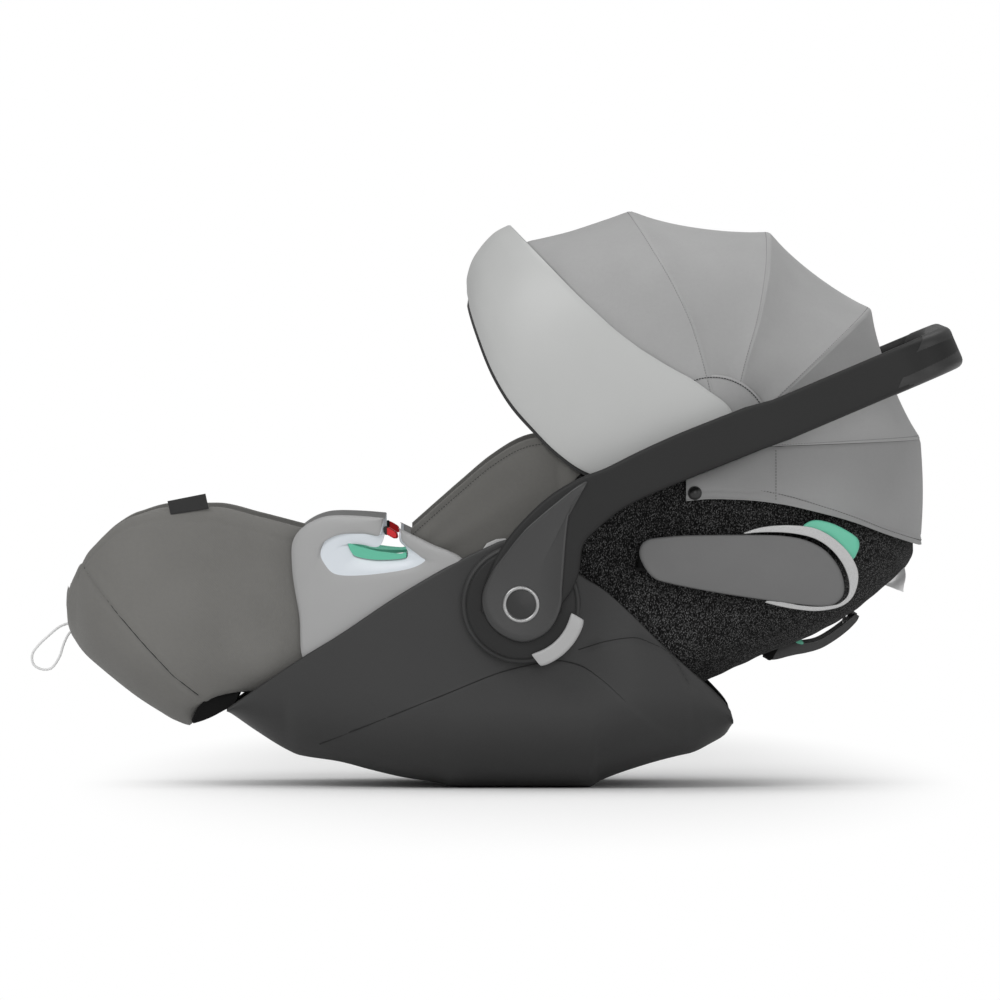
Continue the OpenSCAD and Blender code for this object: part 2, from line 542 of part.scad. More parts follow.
// ---- Side protectors ----
guard_pin = [121, 229];
guard_y = back_half_w + 3.5;
guard_outline = [[126, 246], [135, 250.5], [171, 253], [240, 253], [268, 251], [284, 247], [299, 238],
  [307, 224], [308, 210], [302, 199], [288, 192], [270, 189], [240, 192], [194, 198], [148, 206], [132, 211],
  [126, 220]];
guard_frame_outer = [[223, 256], [253.5, 263], [281, 261], [304, 252], [322, 236], [334, 218], [335, 204],
  [330, 193], [320, 185], [304, 180], [281, 179], [258, 182], [243, 187]];
guard_frame_inner = [[244, 190.5], [262, 186.5], [284, 184], [303, 187], [318, 195], [325, 208], [323, 222],
  [312, 238], [294, 249], [270, 254.5], [240, 254.5]];

module guard_panel_left() color("#6f6f6f") {
  plate(guard_y + 1, guard_y + 12.2) difference() {
    polygon(guard_outline);
    translate([120, 216.5]) square([11.5, 25]);
  }
  plate(guard_y + 12.2, guard_y + guard_t) polygon(guard_outline);
}
module guard_panel_right() right() guard_panel_left();

module guard_frame_left() color("#c4c4c4") {
  plate(guard_y, guard_y + guard_t - 3) polygon(concat(guard_frame_outer, guard_frame_inner));
  plate(guard_y, guard_y + 0.9) polygon([[127, 244], [200, 250], [243, 254], [296, 246], [318, 222], [318, 202], [298, 188], [243, 190], [150, 207], [127, 222]]);
  difference() {
    union() {
      translate([guard_pin.x, -guard_y - 5, guard_pin.y - 8]) cylinder(d = guard_pin_d + 5, h = 16);
      translate([guard_pin.x, -guard_y - 5, guard_pin.y - 8]) cube([9.8, 5, 16]);
    }
    translate([guard_pin.x, -guard_y - 5, guard_pin.y - 20]) cylinder(d = guard_pin_d + 2 * fit, h = 40);
  }
}
module guard_frame_right() right() guard_frame_left();

module guard_button_left() color("#5fb89b") plate(guard_y + 1, guard_y + 11)
  polygon([[288.2, 258.9], [290, 267], [297, 268], [309, 265], [322, 259], [334, 251], [337, 244], [335, 236], [330, 226.5], [322.6, 236.5], [304.5, 252.6]]);
module guard_button_right() right() guard_button_left();

// ---- Recline lever, a bar below the head end ----
lever_pin = [249, 129.5];
lever_half_w = 60;
lever_outer = [[246, 126.8], [253, 130], [274, 131], [290, 133], [309, 142], [322, 151], [334, 161],
  [339, 167], [338, 173], [334, 174]];
lever_inner = [[331, 172], [331, 168], [309, 154], [281, 142], [262, 138.5], [252, 133]];
module recline_lever() color("#1e1e1e") difference() {
  plate(-lever_half_w, lever_half_w) {
    polygon(concat(lever_outer, lever_inner));
    translate(lever_pin) circle(r = 4);
  }
  translate([lever_pin.x, 0, lever_pin.y]) rotate([90, 0, 0])
    cylinder(d = 4 + 2 * fit, h = 3 * lever_half_w, center = true);
  translate([240, 8 - lever_half_w, 120]) cube([93, 2 * lever_half_w - 16, 60]);
}
module recline_lever_tip() color("#5fb89b") both_sides() plate(lever_half_w, lever_half_w + 1.2)
  polygon([[262, 132], [262, 137], [277, 139], [277, 133]]);

// ---- Handle ----
function on_arm(u, v) = pivot + [u * cos(arm_slope) - v * sin(arm_slope), u * sin(arm_slope) + v * cos(arm_slope)];
arm_v0 = 46.5;
bend_u = handle_reach - bend_r;
arm_end = [on_arm(bend_u - 10, arm_v0 + arm_w), on_arm(bend_u - 10, arm_v0)];
function from_pivot(pts) = [for (p = pts) pivot + p];
arm_crook = from_pivot([[0, 0], [-40, 0], [-38, 16], [-24, 49], [-4, 77], [26, 106], [55, 124], [69, 127.6]]);
arm_back = from_pivot([[133, 109], [98, 93], [76, 77], [62, 59], [58, 27], [57.6, 0]]);
face_back = from_pivot([[133, 109], [98, 93], [70, 83], [46, 77], [43, 32], [40, 0]]);
disc_r = boss_r - 1;
button_a = [-75, -17];

// Moves its children into the plane of the arms: X along them and Z across them
module on_handle() translate([0, 0, pivot_z]) rotate([0, -arm_slope, 0]) children();

module arm_half() {
  difference() {
    union() {
      plate(arm_y, arm_y + 14) {
        translate(pivot) circle(r = disc_r);
        polygon(concat(arm_crook, arm_end, arm_back));
      }
      plate(arm_y + 14, arm_y + arm_t) {
        translate(pivot) circle(r = 40);
        polygon(concat(arm_crook, arm_end, face_back));
      }
    }
    pin(pivot, handle_pin_d + 2 * fit, arm_y - 1, arm_y + 13.4);
    pin(pivot, 37, arm_y + arm_t - 3, arm_y + arm_t + 1);
    plate(arm_y + 3.5, arm_y + 15) polygon(band(pivot, 44, 72, button_a[0] - 4, button_a[1] + 4));
  }
}

// The bar inside the grip: a straight stub, a bend and a crossbar
module grip_sweep(r0, r1, v0, v1, c) {
  y = arm_y + arm_t - bend_r;
  section = round_rect(r0, v0, r1, v1, c);
  on_handle() both_sides() {
    translate([bend_u - 10, -y, 0]) rotate([90, 0, 90]) linear_extrude(10) polygon([for (p = section) [-p.x, p.y]]);
    translate([bend_u, -y, 0]) rotate([0, 0, -90]) rotate_extrude(angle = 90) polygon(section);
    translate([bend_u, 0, 0]) rotate([90, 0, 0]) linear_extrude(y) polygon(section);
  }
}

module handle_bow() color("#363636") {
  both_sides() arm_half();
  grip_sweep(bend_r - arm_t + grip_wall, bend_r - grip_wall, arm_v0 + grip_wall, arm_v0 + arm_w - grip_wall, 6);
}

module handle_grip() color("#2f2f2f") difference() {
  grip_sweep(bend_r - arm_t - 5, bend_r, arm_v0 - 0.5, arm_v0 + arm_w, 9);
  grip_sweep(bend_r - arm_t + grip_wall, bend_r - grip_wall, arm_v0 + grip_wall, arm_v0 + arm_w - grip_wall, 6);
}

module hub_medallions() color("#c8c8c8") both_sides() difference() {
  pin(pivot, 36.8, arm_y + arm_t - 3, arm_y + arm_t - 0.4);
  pin(pivot, 28, arm_y + arm_t - 1.4, arm_y + arm_t + 1);
}

module handle_button_left() color("#b4b4b4") plate(arm_y + 4, arm_y + arm_t + 1)
  polygon(band(pivot, 49, 65.5, button_a[0], button_a[1]));
module handle_button_right() right() handle_button_left();

base_shell();
base_sole();
lock_bars();
pivot_bosses();
seat_tub();
guide_panels();
guide_bezels();
guide_liners();
belt_gate_left();
belt_gate_right();
seat_cushion();
recline_pins();
leg_rest_rod();
lower_straps();
buckle_body();
buckle_button();
adjuster_housing();
adjuster_button();
stroller_lever_left();
stroller_lever_right();
leg_rest_tray();
leg_rest_cover();
leg_rest_pad();
pull_loop();
leg_rest_label();
side_gussets();
hinge_plates();
backrest_shell();
backrest_cushion();
hood_skirt();
hood_pivots();
hood_bow_rear();
hood_bow_upper();
hood_bow_top();
hood_bow_front();
hood_panel_rear();
hood_panel_upper();
hood_panel_top();
hood_panel_front();
visor();
visor_lining();
headrest_shell();
headrest_pad();
headrest_lever();
shoulder_pads();
harness_straps();
guard_frame_left();
guard_frame_right();
guard_panel_left();
guard_panel_right();
guard_button_left();
guard_button_right();
recline_lever();
recline_lever_tip();
handle_bow();
handle_grip();
hub_medallions();
handle_button_left();
handle_button_right();
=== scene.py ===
"""A reclining infant carrier: moulded base, padded seat, leg rest, folding hood and swivelling handle.

X runs from the foot end (-) to the head end (+), Z is up, and the left side is at -Y.
Shapes are worked out in millimetres and turned to metres as each mesh is made.
"""

import json
import math

import bpy
import numpy as np
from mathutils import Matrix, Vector

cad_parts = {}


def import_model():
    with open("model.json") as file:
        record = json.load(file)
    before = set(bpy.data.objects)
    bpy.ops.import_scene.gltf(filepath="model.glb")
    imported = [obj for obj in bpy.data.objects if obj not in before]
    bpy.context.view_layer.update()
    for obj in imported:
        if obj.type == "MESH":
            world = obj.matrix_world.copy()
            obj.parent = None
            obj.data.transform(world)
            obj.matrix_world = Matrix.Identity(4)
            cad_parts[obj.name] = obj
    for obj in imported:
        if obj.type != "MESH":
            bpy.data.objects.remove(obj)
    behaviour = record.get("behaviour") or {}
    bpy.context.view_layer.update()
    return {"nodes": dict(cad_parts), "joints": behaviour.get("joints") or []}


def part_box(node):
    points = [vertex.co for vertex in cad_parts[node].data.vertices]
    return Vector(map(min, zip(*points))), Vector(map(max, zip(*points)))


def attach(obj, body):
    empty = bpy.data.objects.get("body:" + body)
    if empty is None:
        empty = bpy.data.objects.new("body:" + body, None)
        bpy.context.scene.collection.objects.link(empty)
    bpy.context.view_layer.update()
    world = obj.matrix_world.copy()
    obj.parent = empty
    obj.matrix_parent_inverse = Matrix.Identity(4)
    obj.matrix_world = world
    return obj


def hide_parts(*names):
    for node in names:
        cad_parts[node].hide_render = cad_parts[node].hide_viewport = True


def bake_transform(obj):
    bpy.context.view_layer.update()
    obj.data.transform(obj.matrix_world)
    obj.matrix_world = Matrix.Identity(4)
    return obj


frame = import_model()
MM = 0.001
# Pieces made once a side: the name of the side, and the sign that mirrors a shape drawn on the left
SIDES = (("left", 1), ("right", -1))

# ---- Driving sizes, read from the frame ----
JOINTS = {joint["name"]: joint for joint in frame["joints"]}


def corners(node):
    """A node's lowest and highest corner, in millimetres."""
    low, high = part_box(node)
    return np.array(low) / MM, np.array(high) / MM


def hinge(name):
    """Where a joint's axis passes, in millimetres."""
    return np.array(JOINTS[name]["pos_m"]) / MM


def half_width(node):
    """How far a node reaches from the carrier's middle to its side, in millimetres."""
    return corners(node)[1][1]


PIVOT = hinge("handle_swing")
RECLINE = hinge("recline")
HOOD = hinge("hood_upper_fold")
BASE_LOW, BASE_HIGH = corners("base_shell")
BASE_FRONT = BASE_LOW[0]
BASE_HALF_W = BASE_HIGH[1]
BACK_HALF_W = half_width("backrest_shell")
BOSS_LOW, BOSS_HIGH = corners("pivot_bosses")
BOSS_R = (BOSS_HIGH[0] - BOSS_LOW[0]) / 2
ARM_OUT = half_width("handle_bow")
LEG_HALF_W = half_width("leg_rest_cover")
HOOD_HALF_W = half_width("hood_bow_rear")
VISOR_HALF_W = half_width("visor")
GUARD_OUT = half_width("guard_panel_right")
GUARD_IN = corners("guard_frame_right")[0][1]

# ---- Sizes of the shapes drawn here: widths, thicknesses and slopes ----
ARM_T = 20
ARM_IN = ARM_OUT - ARM_T
ARM_MIDDLE = ARM_OUT - ARM_T / 2
ARM_W = 43
ARM_SLOPE = math.radians(23)
# How far the lower edge of the straight part passes above the pivot, square to its slope
ARM_RISE = 46.5
BACK_SLOPE = math.radians(31)
# Ahead of this place the side walls draw in, down to this half width at the foot end
TAPER_X = -62
FRONT_HALF_W = 122
TAPER = math.atan((BASE_HALF_W - FRONT_HALF_W) / (TAPER_X - BASE_FRONT))
BASE_WALL = 3.5
# Power of the superellipse that the hood's arches follow
HOOD_POWER = 3


# ---- Curves ----
def smooth(x, table):
    """Reads a table of [place, value] pairs along a curve that passes through them and never overshoots.

    Slopes are harmonic means of the slopes on both sides, and zero at a turning point, joined by cubics.
    """
    px, py = np.array(table, float).T
    gap = np.diff(px)
    rate = np.diff(py) / gap
    slope = np.zeros(len(px))
    same = rate[:-1] * rate[1:] > 0
    safe = np.where(same, rate[:-1] + rate[1:], 1)
    slope[1:-1] = np.where(same, 2 * rate[:-1] * rate[1:] / safe, 0)
    slope[0] = rate[0]
    slope[-1] = rate[-1]
    x = np.clip(x, px[0], px[-1])
    k = np.clip(np.searchsorted(px, x, side="right") - 1, 0, len(gap) - 1)
    t = (x - px[k]) / gap[k]
    return (
        py[k] * (2 * t**3 - 3 * t**2 + 1)
        + slope[k] * gap[k] * (t**3 - 2 * t**2 + t)
        + py[k + 1] * (3 * t**2 - 2 * t**3)
        + slope[k + 1] * gap[k] * (t**3 - t**2)
    )


def ease(t):
    """Turns smoothly from 0 to 1 as t does."""
    t = np.clip(t, 0, 1)
    return t * t * (3 - 2 * t)


def bell(t):
    """A smooth hump of height 1 at t = 0."""
    return np.exp(-(np.asarray(t, float) ** 2))


def lengths(points):
    """How far along a row of points each one lies."""
    steps = np.linalg.norm(np.diff(points, axis=0), axis=1)
    return np.concatenate([[0], np.cumsum(steps)])


def stacked(*columns):
    """Columns of numbers side by side, once each is spread to the shape that they share."""
    return np.stack(np.broadcast_arrays(*columns), -1)


def read_at(place, along, points):
    """Points read at places, where along tells how far along the row each of them lies."""
    return np.stack([np.interp(place, along, column) for column in points.T], -1)


def spline(points, count, closed=False):
    """count points, evenly spaced, on a Catmull-Rom curve through the given points."""
    p = np.array(points, float)
    if closed:
        p = np.vstack([p[-1], p, p[0], p[1]])
    else:
        p = np.vstack([2 * p[0] - p[1], p, 2 * p[-1] - p[-2]])
    t = np.linspace(0, 1, 16, endpoint=False)[:, None]
    parts = []
    for a, b, c, d in zip(p, p[1:], p[2:], p[3:]):
        bend = 2 * a - 5 * b + 4 * c - d
        twist = 3 * b - a - 3 * c + d
        parts.append(0.5 * (2 * b + (c - a) * t + bend * t**2 + twist * t**3))
    curve = np.vstack([*parts, p[-2][None]])
    along = lengths(curve)
    place = np.linspace(0, along[-1], count + 1 if closed else count)
    curve = read_at(place, along, curve)
    return curve[:-1] if closed else curve


def unit(v):
    """Vectors of the same direction and length 1."""
    return v / np.maximum(np.linalg.norm(v, axis=-1, keepdims=True), 1e-9)


def ahead(points):
    """The direction of a row of points at each point."""
    return unit(np.gradient(points, axis=0))


def mirrored(points):
    """The same points on the other side of the carrier."""
    return points * np.array([1, -1, 1])


# ---- Meshes ----
def new_object(name, data):
    """An object in the scene, at the origin, for a mesh, lamp or camera."""
    made = bpy.data.objects.new(name, data)
    bpy.context.scene.collection.objects.link(made)
    return made


def evaluated(obj):
    """A new mesh of an object with its modifiers applied."""
    graph = bpy.context.evaluated_depsgraph_get()
    return bpy.data.meshes.new_from_object(obj.evaluated_get(graph))


def spots(mesh):
    """A mesh's points, in metres."""
    flat = np.empty(len(mesh.vertices) * 3)
    mesh.vertices.foreach_get("co", flat)
    return flat.reshape(-1, 3)


def shade_smooth(mesh, crease=180):
    """Shades a mesh smoothly, with edges that bend by more than the crease angle left sharp."""
    mesh.polygons.foreach_set("use_smooth", [True] * len(mesh.polygons))
    if crease < 180:
        mesh.set_sharp_from_angle(angle=math.radians(crease))


def make_mesh(name, points, faces, uvs, paint, crease=40):
    """A mesh object in metres from points in millimetres; edges are sharp past the crease angle.

    Faces are turned outwards if the volume, a sum of corner triangles' a . (b x c), comes out negative.
    """
    mesh = bpy.data.meshes.new(name)
    points = np.asarray(points, float) * MM
    volume = 0.0
    for f in faces:
        corner = points[f]
        for k in range(1, f.shape[1] - 1):
            volume += np.einsum("ij,ij->", corner[:, 0], np.cross(corner[:, k], corner[:, k + 1]))
    if volume < 0:
        faces = [f[:, ::-1] for f in faces]
        uvs = [u[:, ::-1] for u in uvs]
    mesh.from_pydata(points.tolist(), [], [row for f in faces for row in f.tolist()])
    layer = mesh.uv_layers.new(name="UVMap")
    flat = np.concatenate([u.reshape(-1, 2) for u in uvs]) * MM
    layer.data.foreach_set("uv", flat.astype(np.float32).ravel())
    shade_smooth(mesh, crease)
    mesh.materials.append(paint)
    return new_object(name, mesh)


def skin_parts(rings, joined, ends):
    """Points, faces and cloth coordinates of a solid through rings of the same length.

    Cloth coordinates are millimetres along the rings' middle and round each ring, so a weave keeps its size.
    """
    rings = np.asarray(rings, float)
    m, n, _ = rings.shape
    i = np.arange(m if joined else m - 1)[:, None]
    j = np.arange(n)[None, :]
    square = ((i, j), (i, j + 1), (i + 1, j + 1), (i + 1, j))
    quads = stacked(*[a % m * n + b % n for a, b in square]).reshape(-1, 4)
    looped = np.concatenate([rings, rings[:, :1]], axis=1)
    steps = np.linalg.norm(np.diff(looped, axis=1), axis=2)
    around = np.concatenate([np.zeros((m, 1)), np.cumsum(steps, axis=1)], axis=1)
    around = around - around[:, n // 2][:, None]
    along = lengths(np.concatenate([rings, rings[:1]]).mean(axis=1))
    uv = np.stack([stacked(along[a], around[a % m, b]) for a, b in square], 2).reshape(-1, 4, 2)
    faces, uvs = [quads], [uv]
    if not joined:
        last = (m - 1) * n
        for start, ring in ((0, rings[0]), (last, rings[-1])):
            if ends == "strip":
                k = np.arange(n // 2 - 1)
                cap = start + np.stack([k, k + 1, n - 2 - k, n - 1 - k], -1)
            else:
                cap = start + np.arange(n)[None]
            if start == 0:
                cap = cap[:, ::-1]
            faces.append(cap)
            flat = ring[cap - start]
            uvs.append(flat[..., [1, 2]])
    return rings.reshape(-1, 3), faces, uvs


def doubled(points, faces, uvs):
    """A mesh and its mirror image, with the faces turned over so that they still look outwards."""
    count = len(points)
    points = np.vstack([points, mirrored(points)])
    faces = [*faces, *[f[:, ::-1] + count for f in faces]]
    uvs = [*uvs, *[u[:, ::-1] for u in uvs]]
    return points, faces, uvs


def solid(name, rings, paint, joined=False, ends="strip", crease=40, both=False):
    """A closed solid through rings, once or on both sides of the carrier."""
    parts = skin_parts(rings, joined, ends)
    if both:
        parts = doubled(*parts)
    return make_mesh(name, *parts, paint, crease)


def walls(outer, inner, lip):
    """Closes each row of an outer and an inner surface into a ring, with a rounded lip at both edges."""
    turn = np.linspace(0, np.pi, lip + 2)[1:-1]

    def round_edge(a, b, beyond):
        """Half circles from the edge of one surface to the edge of the other."""
        middle = (a + b) / 2
        half = (a - b) / 2
        reach = unit(beyond) * np.linalg.norm(half, axis=-1, keepdims=True)
        return [middle + half * math.cos(t) + reach * math.sin(t) for t in turn]

    end = round_edge(outer[:, -1], inner[:, -1], outer[:, -1] - outer[:, -2])
    start = round_edge(inner[:, 0], outer[:, 0], outer[:, 0] - outer[:, 1])
    parts = [outer, *[p[:, None] for p in end], inner[:, ::-1], *[p[:, None] for p in start]]
    return np.concatenate(parts, axis=1)


def arc(x, y, reach, rise, start, end, count):
    """Points on an ellipse about (x, y): reach times the cosine one way, rise times the sine the other."""
    turn = np.linspace(start, end, count)
    return [(x + reach * math.cos(a), y + rise * math.sin(a)) for a in turn]


def revolve(profile, centre, count=96):
    """Turns a profile of [radius, y] about an axis across the carrier, as rings for solid()."""
    turn = np.linspace(0, 2 * np.pi, count, endpoint=False)
    radius, y = np.array(profile, float).T
    x = centre[0] + np.cos(turn)[:, None] * radius
    z = centre[2] + np.sin(turn)[:, None] * radius
    return stacked(x, y, z)


def tube(path, radius, sides=8):
    """Rings of a cord along a path."""
    path = np.array(path, float)
    t = ahead(path)
    side = unit(np.cross(t, [0.03, 1.0, 0.05]))
    up = np.cross(side, t)
    turn = np.linspace(0, 2 * np.pi, sides, endpoint=False)
    radius = np.broadcast_to(np.asarray(radius, float), len(path))[:, None, None]
    return path[:, None] + radius * (
        np.cos(turn)[None, :, None] * side[:, None] + np.sin(turn)[None, :, None] * up[:, None]
    )


def band(path, normal, width, thick, crown=0.0):
    """Rings of a strap: a flat section with rounded edges, its face along the given normal."""
    path = np.array(path, float)
    t = ahead(path)
    normal = unit(normal - np.sum(normal * t, -1, keepdims=True) * t)
    across = np.cross(t, normal)
    w = np.broadcast_to(np.asarray(width, float), len(path))[:, None, None] / 2
    turn = np.linspace(0, 2 * np.pi, 24, endpoint=False)
    c, s = np.cos(turn), np.sin(turn)
    u = (np.sign(c) * np.abs(c) ** 0.3)[None, :, None]
    v = (np.sign(s) * np.abs(s) ** 0.6 * (1 + crown * (1 - np.abs(c))))[None, :, None]
    h = np.broadcast_to(np.asarray(thick, float), len(path))[:, None, None] / 2
    return path[:, None] + across[:, None] * u * w + normal[:, None] * v * h


def dome(outline, centre, y_in, y_out, edge, crown=0.0, rows=10):
    """A plate from an outline in X and Z, with a rounded edge and a face that swells by crown.

    Each ring is the outline drawn in towards the centre; the outer face is at y_out, towards -Y.
    """
    outline = np.array(outline, float)
    centre = np.array(centre, float)
    reach = np.linalg.norm(outline - centre, axis=1).mean()
    inner = 1 - edge / reach
    bend = np.linspace(0, np.pi / 2, 5)
    depth = abs(y_out - y_in)
    share = [0.02, *np.linspace(0.2, inner, 3), *(inner + (1 - inner) * np.sin(bend[1:]))]
    depth_in = [0, 0, 0, 0, *(edge * (1 - np.cos(bend[1:])) * 0.4)]
    share_out = [*(inner + (1 - inner) * np.cos(bend)), *np.linspace(inner, 0.02, rows)[1:]]
    depth_out = [depth - edge * (1 - math.sin(b)) for b in bend] + [
        depth + crown * (1 - (s / inner) ** 2) for s in np.linspace(inner, 0.02, rows)[1:]
    ]
    side = -1 if y_out < y_in else 1
    # The inner face and its small rounded edge first, then the outer edge and the swelling outer face
    rings = []
    for s, d in zip([*share, *share_out], [*depth_in, *depth_out]):
        flat = centre + (outline - centre) * s
        y = np.full(len(flat), y_in + side * d)
        rings.append(np.stack([flat[:, 0], y, flat[:, 1]], -1))
    return np.array(rings)


def stitches(name, path, normal, paint, step, long, thick, body, both=False):
    """A row of stitches along a path: short six-sided threads with pointed ends, a step apart."""
    path = np.array(path, float)
    along = lengths(path)
    place = np.arange(step, along[-1] - step / 2, step)
    centre = read_at(place, along, path)
    t = unit(read_at(place, along, ahead(path)))
    normal = np.broadcast_to(np.array(normal, float), path.shape)
    up = unit(read_at(place, along, normal))
    side = np.cross(t, up)
    turn = np.arange(6) * np.pi / 3
    round_ = np.cos(turn)[:, None, None] * side + np.sin(turn)[:, None, None] * up
    places = ((-0.5, 0.25), (-0.36, 1), (0.36, 1), (0.5, 0.25))
    rows = [centre + t * long * f + round_ * thick * r for f, r in places]
    points = np.stack(rows, 0).transpose(2, 0, 1, 3)
    count = len(place)
    base = np.arange(count)[:, None, None] * 24
    i = np.arange(3)[None, :, None] * 6
    j = np.arange(6)[None, None, :]
    after = (j + 1) % 6
    quads = stacked(base + i + j, base + i + after, base + i + 6 + after, base + i + 6 + j).reshape(-1, 4)
    ring = np.arange(6)[None]
    caps = np.concatenate([base[:, 0] + ring[:, ::-1], base[:, 0] + 18 + ring])
    faces = [quads, caps]
    uvs = [np.zeros((*f.shape, 2)) for f in faces]
    parts = (points.reshape(-1, 3), faces, uvs)
    if both:
        parts = doubled(*parts)
    made = make_mesh(name, *parts, paint, 60)
    if body:
        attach(made, body)
    return made


def rounded_copy(node, name, paint, radius, body, segments):
    """A moulded copy of a CAD node with rounded edges, which stands for it."""
    source = frame["nodes"][node]
    mesh = source.data.copy()
    made = new_object(name, mesh)
    weld = made.modifiers.new("weld", "WELD")
    weld.merge_threshold = 0.00002
    flatten = made.modifiers.new("flatten", "DECIMATE")
    flatten.decimate_type = "DISSOLVE"
    flatten.angle_limit = math.radians(1.5)
    bevel = made.modifiers.new("bevel", "BEVEL")
    bevel.width = radius * MM
    bevel.segments = segments
    bevel.limit_method = "ANGLE"
    bevel.angle_limit = math.radians(35)
    final = evaluated(made)
    made.modifiers.clear()
    made.data = final
    bpy.data.meshes.remove(mesh)
    shade_smooth(final, 32)
    final.materials.clear()
    final.materials.append(paint)
    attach(made, body)
    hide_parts(node)
    return made


# ---- Materials ----
def linear(code):
    """An sRGB hex colour as linear red, green, blue and alpha."""
    parts = [int(code[k : k + 2], 16) / 255 for k in (1, 3, 5)]
    return (*[c / 12.92 if c <= 0.04045 else ((c + 0.055) / 1.055) ** 2.4 for c in parts], 1)


def add(tree, kind, settings=None, **inputs):
    """Adds one node. An input's value is a number, a colour, or another node's output."""
    made = tree.nodes.new(kind)
    for key, value in (settings or {}).items():
        setattr(made, key, value)
    for key, value in inputs.items():
        socket = made.inputs[int(key[1:])] if key[0] == "_" else made.inputs[key.replace("_", " ")]
        if isinstance(value, bpy.types.NodeSocket):
            tree.links.new(value, socket)
        else:
            socket.default_value = value
    return made


def blank(name, **sockets):
    """A new material and its shader, with the given sockets set."""
    paint = bpy.data.materials.new(name)
    paint.use_nodes = True
    tree = paint.node_tree
    shader = tree.nodes["Principled BSDF"]
    for key, value in sockets.items():
        shader.inputs[key.replace("_", " ")].default_value = value
    return paint, tree, shader


def place(tree, cloth):
    """Where a pattern is read: along the cloth, or through the object."""
    source = add(tree, "ShaderNodeTexCoord")
    return source.outputs["UV" if cloth else "Object"]


def sum_of(tree, operation, *values):
    """The result of one Math node on numbers or on other nodes' outputs."""
    inputs = {"_" + str(k): value for k, value in enumerate(values)}
    return add(tree, "ShaderNodeMath", {"operation": operation}, **inputs).outputs[0]


def spread(tree, value, low, high, start, end, **settings):
    """Turns a value that runs from low to high into one that runs from start to end."""
    spans = {"From_Min": low, "From_Max": high, "To_Min": start, "To_Max": end}
    return add(tree, "ShaderNodeMapRange", settings, Value=value, **spans).outputs["Result"]


def clouds(tree, at, scale, detail, **inputs):
    """Noise from 0 to 1, about scale clouds to a metre."""
    return add(tree, "ShaderNodeTexNoise", Vector=at, Scale=scale, Detail=detail, **inputs).outputs["Fac"]


def shaded(tree, colour, shade):
    """A colour times a factor that makes it lighter or darker."""
    mix = {"data_type": "RGBA", "blend_type": "MULTIPLY"}
    return add(tree, "ShaderNodeMix", mix, _0=1.0, _6=linear(colour), _7=shade).outputs[2]


def dress(tree, shader, tint, height, strength, depth):
    """Gives a shader its colour and its bump, whose depth is in millimetres."""
    bump = add(tree, "ShaderNodeBump", Height=height, Strength=strength, Distance=depth * MM)
    tree.links.new(tint, shader.inputs["Base Color"])
    tree.links.new(bump.outputs["Normal"], shader.inputs["Normal"])


def moulded(name, colour, rough, grain=0.9, depth=0.05, mottle=0.06, **sockets):
    """Moulded plastic: a fine spark-eroded grain and slightly uneven gloss."""
    paint, tree, shader = blank(name, Roughness=rough, **sockets)
    at = place(tree, False)
    fine = clouds(tree, at, 1 / (grain * MM), 2.0)
    shade = spread(tree, clouds(tree, at, 9.0, 3.0), 0.3, 0.7, 1 - mottle, 1 + mottle)
    gloss = spread(tree, fine, 0.3, 0.7, rough - 0.05, rough + 0.05)
    tree.links.new(gloss, shader.inputs["Roughness"])
    dress(tree, shader, shaded(tree, colour, shade), fine, 0.35, depth)
    return paint


def woven(
    name, colour, thread, contrast, rough=0.85, depth=0.12, slant=0.0, mottle=0.05, flat=True, **sockets
):
    """Woven cloth: warp times weft, each a sine along its thread; slant turns the pattern into a twill.

    The threads follow the sheet's own grid, or with flat off they follow the body.
    """
    paint, tree, shader = blank(name, Roughness=rough, **sockets)
    body = place(tree, False)
    if flat:
        at = place(tree, True)
    else:
        at = add(tree, "ShaderNodeMapping", Vector=body, Rotation=(0.7, 0.6, 0.3)).outputs[0]
    split = add(tree, "ShaderNodeSeparateXYZ", Vector=at)
    turn = 2 * math.pi / (thread * MM)
    along = sum_of(tree, "MULTIPLY", split.outputs["X"], turn)
    across = sum_of(tree, "MULTIPLY", split.outputs["Y"], turn)
    slanted = sum_of(tree, "MULTIPLY_ADD", split.outputs["Y"], turn * slant, along)
    cross = sum_of(tree, "MULTIPLY", sum_of(tree, "SINE", slanted), sum_of(tree, "SINE", across))
    # Flecks in the yarn, about 4 mm across and finer, over the weave, and broad patches of uneven dye
    fleck = sum_of(tree, "MULTIPLY_ADD", clouds(tree, body, 260.0, 4.0, Roughness=0.65), 2.2, cross)
    fine = spread(tree, fleck, -0.4, 2.6, 1 - contrast, 1 + contrast)
    wide = spread(tree, clouds(tree, body, 12.0, 2.0), 0.3, 0.7, 1 - mottle, 1 + mottle)
    shade = sum_of(tree, "MULTIPLY", fine, wide)
    dress(tree, shader, shaded(tree, colour, shade), fleck, 0.3, depth)
    return paint


